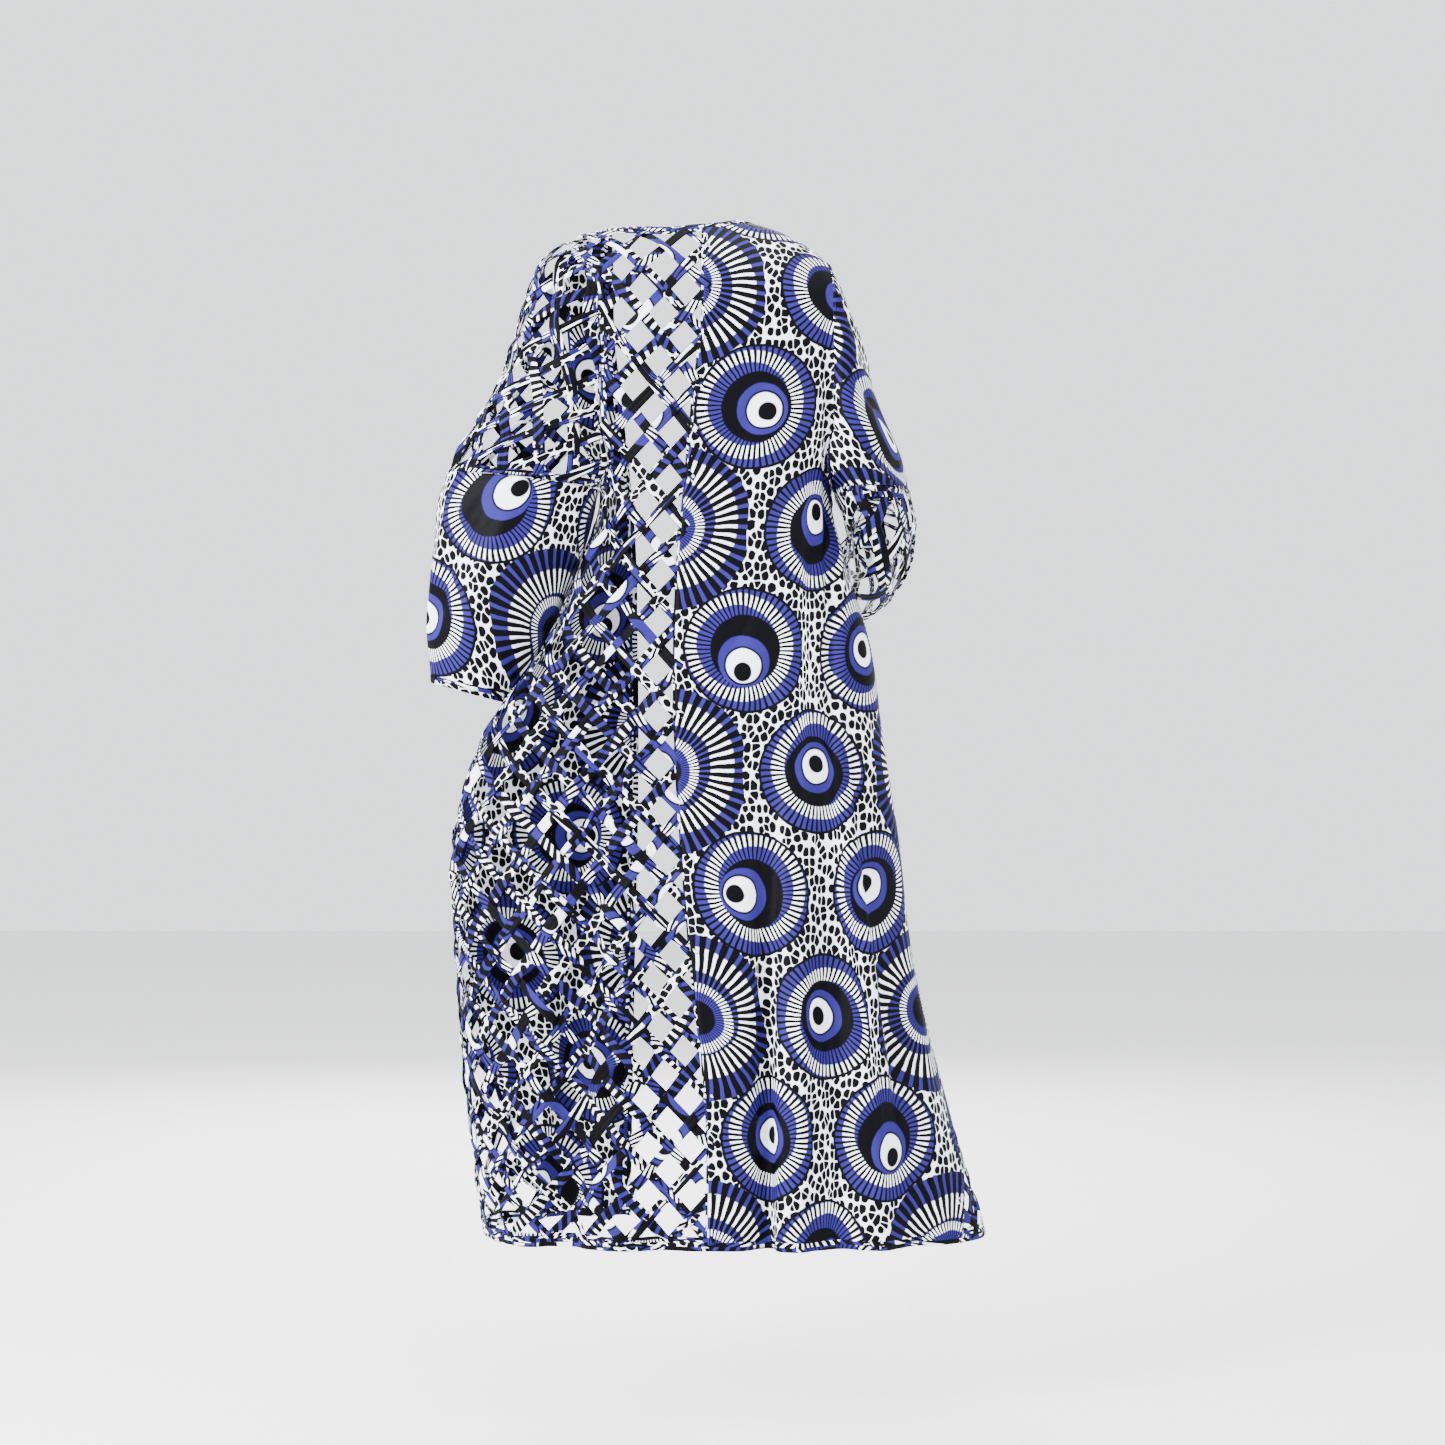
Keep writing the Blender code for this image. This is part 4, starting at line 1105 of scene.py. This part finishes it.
# Spokes of a motif: how many, and the share of each one's turn that is a gap
Spokes = namedtuple("Spokes", "count gap")
BLUE_TICKS = Spokes(58, 0.38)
WHITE_TICKS = Spokes(58, 0.54)
SUN_RAYS = Spokes(46, 0.62)
SPOKE_BORDER = 0.05

# Every so many columns are of sunbursts, and a printed line wanders so far
SUN_EVERY = 4.0
LINE_WAVER = 0.005

# Pebbles: their scale across and down, how irregular their net is, the size of the smallest,
# how much more the largest has, how rough and how soft their edges are, how far apart they
# stay and how round their corners are
PEBBLE_SCALE = (1.0, 0.78, 1.0)
PEBBLE_SCATTER = 0.78
PEBBLE_SIZE = 0.42
PEBBLE_GROWTH = 0.24
PEBBLE_EDGE = 0.2
PEBBLE_BORDER = 0.03
PEBBLE_GAP = 0.038
PEBBLE_ROUNDING = 0.30


def print_group(settings):
    """Return the node group of the wax print: discs, sunbursts and a pebbled ground."""
    group = bpy.data.node_groups.get("Wax print")
    if group:
        return group
    group = bpy.data.node_groups.new("Wax print", "ShaderNodeTree")
    group.interface.new_socket("Cloth", in_out="INPUT", socket_type="NodeSocketVector")
    group.interface.new_socket("Colour", in_out="OUTPUT", socket_type="NodeSocketColor")
    wires = Wires(group)
    start = wires.add("NodeGroupInput").outputs[0]
    inks = {"blue": tuple(settings.print_blue) + (1.0,),
            "black": tuple(settings.print_black) + (1.0,),
            "white": tuple(settings.print_white) + (1.0,)}
    across = settings.disc_columns
    down = settings.disc_rows
    disc = settings.disc_size / 2
    sun = settings.sunburst_size / 2

    # Hand-cut blocks print a slightly uneven line
    waver = wires.add("ShaderNodeTexNoise", {"Vector": start, "Scale": 28.0, "Detail": 2.0})
    shift = wires.vector("SUBTRACT", waver.outputs["Color"], (0.5, 0.5, 0.5))
    cloth = wires.vector("ADD", start, wires.scale(shift, LINE_WAVER))

    # The nearest motif in two staggered nets, and the number of its column
    field = (2 * across, down, 1.0)
    nets = []
    for offset in ((0.0, 0.0, 0.0), (across, down / 2, 0.0)):
        moved = wires.vector("SUBTRACT", cloth, offset)
        local = wires.vector("WRAP", moved, tuple(side / 2 for side in field),
                             tuple(-side / 2 for side in field))
        split = wires.add("ShaderNodeSeparateXYZ", {0: wires.vector("SUBTRACT", cloth, local)})
        column = wires.math("ROUND", wires.math("DIVIDE", split.outputs[0], across))
        row = wires.math("ROUND", wires.math("DIVIDE", split.outputs[1], down / 2))
        place = wires.math("MODULO", wires.math("ADD", column, 100 * SUN_EVERY), SUN_EVERY)
        is_sun = wires.math("LESS_THAN", place, 0.5)
        radius = wires.blend(is_sun, disc, sun)
        flat = wires.vector("MULTIPLY", local, (1.0, 1.0, 0.0))
        away = wires.math("SUBTRACT", wires.vector("LENGTH", flat), radius)
        nets.append((flat, column, row, is_sun, radius, away))
    second = wires.math("LESS_THAN", nets[1][5], nets[0][5])
    flat = wires.add("ShaderNodeMix", {0: second, 4: nets[0][0], 5: nets[1][0]},
                     data_type="VECTOR").outputs[1]
    column, row, is_sun, radius = (wires.blend(second, nets[0][k], nets[1][k])
                                   for k in (1, 2, 3, 4))
    number = wires.add("ShaderNodeCombineXYZ", {0: column, 1: row}).outputs[0]
    chance = wires.add("ShaderNodeTexWhiteNoise", {"Vector": number}, noise_dimensions="3D")
    chances = wires.add("ShaderNodeSeparateColor", {0: chance.outputs["Color"]}).outputs

    # Round the motif: its share of the radius, its turn and its spokes
    share = wires.math("DIVIDE", wires.vector("LENGTH", flat), radius)
    parts = wires.add("ShaderNodeSeparateXYZ", {0: flat}).outputs
    turn = wires.math("DIVIDE", wires.math("ARCTAN2", parts[1], parts[0]), 2 * math.pi)
    round_turn = wires.math("FRACT", wires.math("ADD", turn, 1.0))

    def spokes(kind):
        """Return 1 on the spokes round the motif and 0 between them."""
        phase = wires.math("FRACT", wires.math("MULTIPLY", round_turn, float(kind.count)))
        return wires.above(phase, kind.gap, SPOKE_BORDER)

    def off_centre(way, reach):
        """Return the share of the radius from a centre that is moved so far."""
        if reach == 0:
            return share
        aim = wires.add("ShaderNodeCombineXYZ", {
            k: wires.math("MULTIPLY", ways[way][k], reach) for k in (0, 1)})
        moved = wires.vector("SUBTRACT", flat, aim.outputs[0])
        return wires.math("DIVIDE", wires.vector("LENGTH", moved), radius)

    def ringed(rings, colour):
        """Return a colour with rings laid inside it."""
        for ring in rings:
            outside = wires.above(off_centre(ring.way, ring.reach), ring.edge, RING_BORDER)
            colour = wires.mix(outside, inks[ring.colour], colour)
        return colour

    # Discs, each with its eye off the centre, and sunbursts of long rays round a fine core
    angle = wires.math("MULTIPLY", chances[0], 2 * math.pi)
    ways = {"side": (wires.math("COSINE", angle), wires.math("SINE", angle)),
            "gaze": [wires.math("SUBTRACT", chances[k], 0.5) for k in (1, 2)]}
    inks["blue ticks"] = wires.mix(spokes(BLUE_TICKS), inks["black"], inks["blue"])
    inks["white ticks"] = wires.mix(spokes(WHITE_TICKS), inks["black"], inks["white"])
    disc_colour = wires.mix(wires.above(share, RIM, RING_BORDER),
                            ringed(DISC_RINGS, inks["blue ticks"]), inks["black"])
    rays = wires.mix(spokes(SUN_RAYS), inks["black"], ringed(RAY_RINGS, inks["blue"]))
    motif = wires.mix(is_sun, disc_colour, ringed(CORE_RINGS, rays))

    # Ground: white with irregular black pebbles that never run together
    ground = wires.vector("MULTIPLY", cloth, PEBBLE_SCALE)
    cells, borders = (wires.add("ShaderNodeTexVoronoi", {
        "Vector": ground, "Scale": 1 / settings.pebble_step, "Randomness": PEBBLE_SCATTER},
        voronoi_dimensions="2D", feature=feature) for feature in ("F1", "DISTANCE_TO_EDGE"))
    cell = wires.add("ShaderNodeSeparateColor", {0: cells.outputs["Color"]}).outputs[0]
    rough = wires.add("ShaderNodeTexNoise", {"Vector": start, "Scale": 240.0, "Detail": 1.0})
    uneven = wires.math("MULTIPLY", wires.math("SUBTRACT", rough.outputs["Fac"], 0.5),
                        PEBBLE_EDGE)
    size = wires.math("ADD", wires.math("MULTIPLY", cell, PEBBLE_GROWTH), PEBBLE_SIZE)
    inside = wires.math("SUBTRACT", wires.math("ADD", size, uneven), cells.outputs["Distance"])
    apart = wires.math("SUBTRACT", borders.outputs["Distance"], PEBBLE_GAP)
    spotted = wires.math("SMOOTH_MIN", inside, apart, PEBBLE_ROUNDING)
    pebbles = wires.mix(wires.above(spotted, 0.0, PEBBLE_BORDER), inks["white"], inks["black"])
    colour = wires.mix(wires.above(share, 1.0, MOTIF_BORDER), motif, pebbles)
    end = wires.add("NodeGroupOutput")
    group.links.new(colour, end.inputs[0])
    return group


# How rough each cloth is, and the least and most of the print's brightness that it keeps; the
# folded strips keep less of it, a painted shade
FinishAndShade = namedtuple("FinishAndShade", "rough dim bright")
FINISHES_AND_SHADES = {
    "Printed cotton": FinishAndShade(0.56, 0.90, 1.04),
    "Folded strip cotton": FinishAndShade(0.62, 0.82, 0.98),
    "Binding cotton": FinishAndShade(0.60, 0.80, 0.96),
}
THREADS_PER_METRE = 1500.0
CLOTH_SHINE = 0.05


def cloth_material(name):
    """Return waxed cotton with the print laid flat on its cloth, woven and a little crumpled."""
    material = bpy.data.materials.get(name)
    if material:
        return material
    settings = bpy.context.scene.coat
    material = bpy.data.materials.new(name)
    material.use_nodes = True
    wires = Wires(material.node_tree)
    shader = material.node_tree.nodes["Principled BSDF"]
    flat = wires.add("ShaderNodeUVMap", uv_map="cloth").outputs[0]
    pattern = wires.add("ShaderNodeGroup", node_tree=print_group(settings))
    material.node_tree.links.new(flat, pattern.inputs[0])
    worn = wires.add("ShaderNodeTexNoise", {"Vector": flat, "Scale": 9.0, "Detail": 3.0})
    finish_and_shade = FINISHES_AND_SHADES[name]
    # Brightness wanders at random between the least and most that the cloth keeps; on the folded
    # strips both are lower, a painted shade
    fade = wires.add("ShaderNodeMapRange", {
        "Value": worn.outputs["Fac"], "From Min": 0.3, "From Max": 0.7,
        "To Min": finish_and_shade.dim, "To Max": finish_and_shade.bright})
    tinted = wires.add("ShaderNodeHueSaturation", {
        "Value": fade.outputs[0], "Color": pattern.outputs[0]})
    material.node_tree.links.new(tinted.outputs[0], shader.inputs["Base Color"])

    # Weave and crumple
    turns = wires.scale(flat, THREADS_PER_METRE * math.pi)
    threads = wires.add("ShaderNodeSeparateXYZ", {0: turns}).outputs
    weave = wires.math("MULTIPLY", wires.math("SINE", threads[0]),
                       wires.math("SINE", threads[1]))
    crumple = wires.add("ShaderNodeTexNoise", {
        "Vector": flat, "Scale": 22.0, "Detail": 4.0, "Roughness": 0.55})
    soft_bump = wires.add("ShaderNodeBump", {
        "Strength": 0.35, "Distance": 0.006, "Height": crumple.outputs["Fac"]})
    fine_bump = wires.add("ShaderNodeBump", {
        "Strength": 0.10, "Distance": 0.0003, "Height": weave, "Normal": soft_bump.outputs[0]})
    material.node_tree.links.new(fine_bump.outputs[0], shader.inputs["Normal"])
    shader.inputs["Roughness"].default_value = finish_and_shade.rough
    shader.inputs["Specular IOR Level"].default_value = CLOTH_SHINE
    return material


class CoatSettings(bpy.types.PropertyGroup):
    """Sizes and colours of the coat's cloth, and its studio."""

    print_blue: FloatVectorProperty(
        name="Blue", description="Blue of the print", subtype="COLOR", min=0.0, max=1.0,
        default=(0.0180, 0.0125, 0.122))
    print_black: FloatVectorProperty(
        name="Black", description="Black of the print", subtype="COLOR", min=0.0, max=1.0,
        default=(0.0005, 0.0005, 0.0014))
    print_white: FloatVectorProperty(
        name="White", description="White ground of the print", subtype="COLOR", min=0.0, max=1.0,
        default=(0.850, 0.890, 0.935))
    disc_size: FloatProperty(
        name="Disc", description="Across a disc of the print", unit="LENGTH", min=0.05, max=0.3,
        default=0.160)
    sunburst_size: FloatProperty(
        name="Sunburst", description="Across a sunburst of the print", unit="LENGTH", min=0.05,
        max=0.4, default=0.210)
    disc_columns: FloatProperty(
        name="Columns", description="From one column of discs to the next", unit="LENGTH",
        min=0.05, max=0.3, default=0.100)
    disc_rows: FloatProperty(
        name="Rows", description="From one disc to the next in its column", unit="LENGTH",
        min=0.1, max=0.6, default=0.308)
    pebble_step: FloatProperty(
        name="Pebbles", description="From one pebble of the ground to the next", unit="LENGTH",
        min=0.003, max=0.05, default=0.0100)
    strip_width: FloatProperty(
        name="Strip", description="Width of a folded strip of the lattice", unit="LENGTH",
        min=0.006, max=0.025, default=0.0138)
    floor_colour: FloatVectorProperty(
        name="Floor", description="Colour of the studio floor", subtype="COLOR", min=0.0,
        max=1.0, default=(0.80, 0.80, 0.80))
    light_power: FloatProperty(
        name="Light", description="Strength of the main studio light", unit="POWER", min=1.0,
        max=2000.0, default=370.0)


# Where the chances of each piece start; a left and a right one differ by their side
SEEDS = {"back lattice": 3, "front lattice": 5, "left sleeve lattice": 7,
         "right sleeve lattice": 9, "neck": 11, "opening": 12, "front hem": 15, "cuff": 18,
         "back hem": 21}

# How far the print is moved across and up each whole piece
BACK_PRINT = (-0.028, 0.084)
FRONT_PRINT = (0.050, 0.020)
LEFT_SLEEVE_PRINT = (0.227, 0.190)
RIGHT_SLEEVE_PRINT = (0.180, 0.110)


class COAT_OT_back(bpy.types.Operator):
    """Sew the two halves of the back: lattice on the wearer's left, whole cloth on the right"""

    bl_idname = "coat.back"
    bl_label = "Back"

    def execute(self, context):
        width = context.scene.coat.strip_width
        lattice("back_left_lattice_strips", BACK, back_edges(1, LATTICE_CUT),
                back_edges(1, TAPE_CUT), BACK_LAY, width, SEEDS["back lattice"],
                ["back_left_lattice"])
        whole_cloth("back_right_cloth", BACK, back_edges(-1, CLOTH_CUT), (0, 0, LAP, LAP),
                    BACK_PRINT, ["back_right_panel"], BACK_TUCKS)
        return {"FINISHED"}


class COAT_OT_fronts(bpy.types.Operator):
    """Sew the two fronts: whole cloth on the wearer's left, lattice on the right"""

    bl_idname = "coat.fronts"
    bl_label = "Fronts"

    def execute(self, context):
        width = context.scene.coat.strip_width
        whole_cloth("front_left_cloth", FRONT[1], front_edges(1, CLOTH_CUT), (0, 0, 0, LAP),
                    FRONT_PRINT, ["front_left_panel"])
        lattice("front_right_lattice_strips", FRONT[-1], front_edges(-1, FRONT_LATTICE_CUT),
                front_edges(-1, TAPE_CUT), FRONT_LAY, width, SEEDS["front lattice"],
                ["front_right_lattice"])
        return {"FINISHED"}


def sleeve_edges(form, low, high, inset):
    """Return the four edges of a sleeve's cloth between two places up it."""
    v = np.linspace(low, high, SIDE_STEPS)
    left, right = form.ends(v)
    left = np.stack([left + inset, v], axis=-1)
    right = np.stack([right - inset, v], axis=-1)
    top = level_edge(left[-1], right[-1])
    return level_edge(left[0], right[0]), top, left, right


# Where the cloth of the sleeves ends: below the shoulder and above the cuff's edge
TOP_GAP = 0.0015
CLOTH_ABOVE_CUFF = 0.008
LATTICE_ABOVE_CUFF = 0.010

# Where the tapes of the sleeves' lattices lie: above the cuff's edge, inside the seams round
# the sleeve, and inside the seam along the left and along the right one
TAPE_ABOVE_CUFF = 0.013
TAPE_IN_SEAM = 0.004
LEFT_TAPE_INSET = 0.002
RIGHT_TAPE_INSET = 0.003


class COAT_OT_left_sleeve(bpy.types.Operator):
    """Sew the left sleeve: lattice above the elbow and whole cloth below it"""

    bl_idname = "coat.left_sleeve"
    bl_label = "Left Sleeve"

    def execute(self, context):
        width = context.scene.coat.strip_width
        form = UPPER_FORM[1]
        top = TOP_OF_SLEEVE[1].height
        edges = sleeve_edges(form, UNDERARM, top - TOP_GAP, 0.0)
        tapes = sleeve_edges(form, UNDERARM + TAPE_IN_SEAM, top - TAPE_IN_SEAM,
                             LEFT_TAPE_INSET)
        lattice("left_sleeve_lattice_strips", form, edges, (tapes[0], tapes[2], tapes[3]),
                SLEEVE_LAY, width, SEEDS["left sleeve lattice"],
                ["left_sleeve_upper_back", "left_sleeve_upper_front"])
        form = LOWER_FORM[1]
        edges = sleeve_edges(form, CLOTH_ABOVE_CUFF - LOWER_END[1], 0.0, 0.0)
        whole_cloth("left_sleeve_cloth", form, edges, (0, LAP, 0, 0), LEFT_SLEEVE_PRINT,
                    ["left_sleeve_lower"], closed=True)
        return {"FINISHED"}


class COAT_OT_right_sleeve(bpy.types.Operator):
    """Sew the right sleeve: whole cloth above the elbow and lattice below it"""

    bl_idname = "coat.right_sleeve"
    bl_label = "Right Sleeve"

    def execute(self, context):
        width = context.scene.coat.strip_width
        form = UPPER_FORM[-1]
        edges = sleeve_edges(form, UNDERARM, TOP_OF_SLEEVE[-1].height - TOP_GAP, 0.0)
        whole_cloth("right_sleeve_cloth", form, edges, (LAP, 0, 0, 0), RIGHT_SLEEVE_PRINT,
                    ["right_sleeve_upper"])
        form = LOWER_FORM[-1]
        edges = sleeve_edges(form, LATTICE_ABOVE_CUFF - LOWER_END[-1], 0.0, 0.0)
        tapes = sleeve_edges(form, TAPE_ABOVE_CUFF - LOWER_END[-1], -TAPE_IN_SEAM,
                             RIGHT_TAPE_INSET)
        lattice("right_sleeve_lattice_strips", form, edges, tapes, FOREARM_LAY, width,
                SEEDS["right sleeve lattice"],
                ["right_sleeve_lower_back", "right_sleeve_lower_front"])
        return {"FINISHED"}


class COAT_OT_bindings(bpy.types.Operator):
    """Bind the neckline, the edges of the opening, the hem and the cuffs"""

    bl_idname = "coat.bindings"
    bl_label = "Bindings"

    def execute(self, context):
        middle = BINDING_WIDTH / 2
        end = math.pi / 2 - NECK_END_TURN
        bind("neck_binding_roll", BACK, neck_edge(middle, -end, end, 2 * NECK_STEPS),
             SEEDS["neck"], ["neck_binding"])
        low = HEM + middle
        for side, name in ((1, "left"), (-1, "right")):
            bind("front_binding_roll_" + name, FRONT[side], front_edge(side, middle),
                 SEEDS["opening"] + side, ["front_binding_" + name])
            opening = front_edge(side, 0.0, low)[0]
            seam = side_seam(side, -1, np.array([low]), 0.0)[0]
            bind("hem_binding_roll_front_" + name, FRONT[side], level_edge(opening, seam),
                 SEEDS["front hem"] + side, ["hem_binding_front_" + name])
            form = LOWER_FORM[side]
            cuff = middle - LOWER_END[side]
            ends = [(float(u), cuff) for u in form.ends(cuff)]
            bind(name + "_cuff_roll", form, level_edge(*ends), SEEDS["cuff"] + side,
                 [name + "_cuff_binding"])
        seams = [side_seam(side, 1, np.array([low]), 0.0)[0] for side in (-1, 1)]
        bind("hem_binding_roll_back", BACK, level_edge(*seams), SEEDS["back hem"],
             ["hem_binding_back_left", "hem_binding_back_right"])
        return {"FINISHED"}


# What the view takes in across the coat, and where the camera stands, straight behind it
# and level with the middle of the view
PHOTO_WIDTH = 1.8785
CAMERA_SPOT = (-0.0228, 4.0, -0.6377)
SENSOR = 36.0

# The studio's floor and air, and its lamps: each has a share of the main light's power
FLOOR_HEIGHT = -1.52
FLOOR_SIZE = 9.0
FLOOR_ROUGHNESS = 0.85
FLOOR_GRAIN = 0.985
AIR_COLOUR = (0.95, 0.97, 1.0, 1.0)
AIR_STRENGTH = 1.9
Lamp = namedtuple("Lamp", "name spot aim size share")
LAMPS = (
    Lamp("Key softbox", (3.0, 2.4, 0.7), (0.0, 0.0, -0.6), 1.8, 1.7),
    Lamp("Fill softbox", (-2.8, 2.6, 0.3), (0.0, 0.0, -0.7), 2.4, 0.40),
    Lamp("Front softbox", (0.4, -3.2, 0.8), (0.0, 0.0, -0.6), 2.4, 0.70),
    Lamp("Top softbox", (0.0, 0.2, 2.2), (0.0, 0.0, -0.6), 2.0, 0.35),
)


class COAT_OT_stage(bpy.types.Operator):
    """Set up the floor, the studio lights and the camera"""

    bl_idname = "coat.stage"
    bl_label = "Stage"

    def execute(self, context):
        settings = context.scene.coat
        scene = context.scene
        shape = bmesh.new()
        bmesh.ops.create_grid(shape, x_segments=1, y_segments=1, size=FLOOR_SIZE,
                              matrix=Matrix.Translation((0, 0, FLOOR_HEIGHT)))
        mesh = bpy.data.meshes.new("Studio floor")
        shape.to_mesh(mesh)
        shape.free()
        paint = bpy.data.materials.new("Floor paper")
        paint.use_nodes = True
        wires = Wires(paint.node_tree)
        shader = paint.node_tree.nodes["Principled BSDF"]
        grain = wires.add("ShaderNodeTexNoise", {
            "Vector": wires.add("ShaderNodeTexCoord").outputs["Object"], "Scale": 3.0})
        tone = tuple(settings.floor_colour)
        colour = wires.mix(grain.outputs["Fac"], tone + (1.0,),
                           tuple(value * FLOOR_GRAIN for value in tone) + (1.0,))
        paint.node_tree.links.new(colour, shader.inputs["Base Color"])
        shader.inputs["Roughness"].default_value = FLOOR_ROUGHNESS
        mesh.materials.append(paint)
        floor = bpy.data.objects.new("Studio floor", mesh)
        scene.collection.objects.link(floor)
        for lamp in LAMPS:
            light = bpy.data.lights.new(lamp.name, "AREA")
            light.shape = "DISK"
            light.size = lamp.size
            light.energy = settings.light_power * lamp.share
            holder = bpy.data.objects.new(lamp.name, light)
            holder.location = lamp.spot
            aim = Vector(lamp.aim) - Vector(lamp.spot)
            holder.rotation_euler = aim.to_track_quat("-Z", "Y").to_euler()
            scene.collection.objects.link(holder)
        world = bpy.data.worlds.new("Studio air")
        world.use_nodes = True
        air = world.node_tree.nodes["Background"]
        air.inputs["Color"].default_value = AIR_COLOUR
        air.inputs["Strength"].default_value = AIR_STRENGTH
        scene.world = world
        camera = bpy.data.cameras.new("Camera")
        camera.sensor_width = SENSOR
        camera.lens = SENSOR * CAMERA_SPOT[1] / PHOTO_WIDTH
        stand = bpy.data.objects.new("Camera", camera)
        stand.location = CAMERA_SPOT
        stand.rotation_euler = (math.pi / 2, 0.0, math.pi)
        scene.collection.objects.link(stand)
        scene.camera = stand
        return {"FINISHED"}


OPERATORS = (
    COAT_OT_back,
    COAT_OT_fronts,
    COAT_OT_left_sleeve,
    COAT_OT_right_sleeve,
    COAT_OT_bindings,
    COAT_OT_stage,
)


class COAT_PT_panel(bpy.types.Panel):
    """Lists the coat's pieces and its settings"""

    bl_idname = "COAT_PT_panel"
    bl_label = "Duster Coat"
    bl_space_type = "VIEW_3D"
    bl_region_type = "UI"
    bl_category = "Coat"

    def draw(self, context):
        for key in CoatSettings.__annotations__:
            self.layout.prop(context.scene.coat, key)
        for operator in OPERATORS:
            self.layout.operator(operator.bl_idname)


def register():
    for entry in (CoatSettings,) + OPERATORS + (COAT_PT_panel,):
        bpy.utils.register_class(entry)
    bpy.types.Scene.coat = PointerProperty(type=CoatSettings)


def unregister():
    del bpy.types.Scene.coat
    for entry in reversed((CoatSettings,) + OPERATORS + (COAT_PT_panel,)):
        bpy.utils.unregister_class(entry)


def main():
    register()
    for operator in OPERATORS:
        group, name = operator.bl_idname.split(".")
        getattr(getattr(bpy.ops, group), name)()


if __name__ == "__main__":
    main()
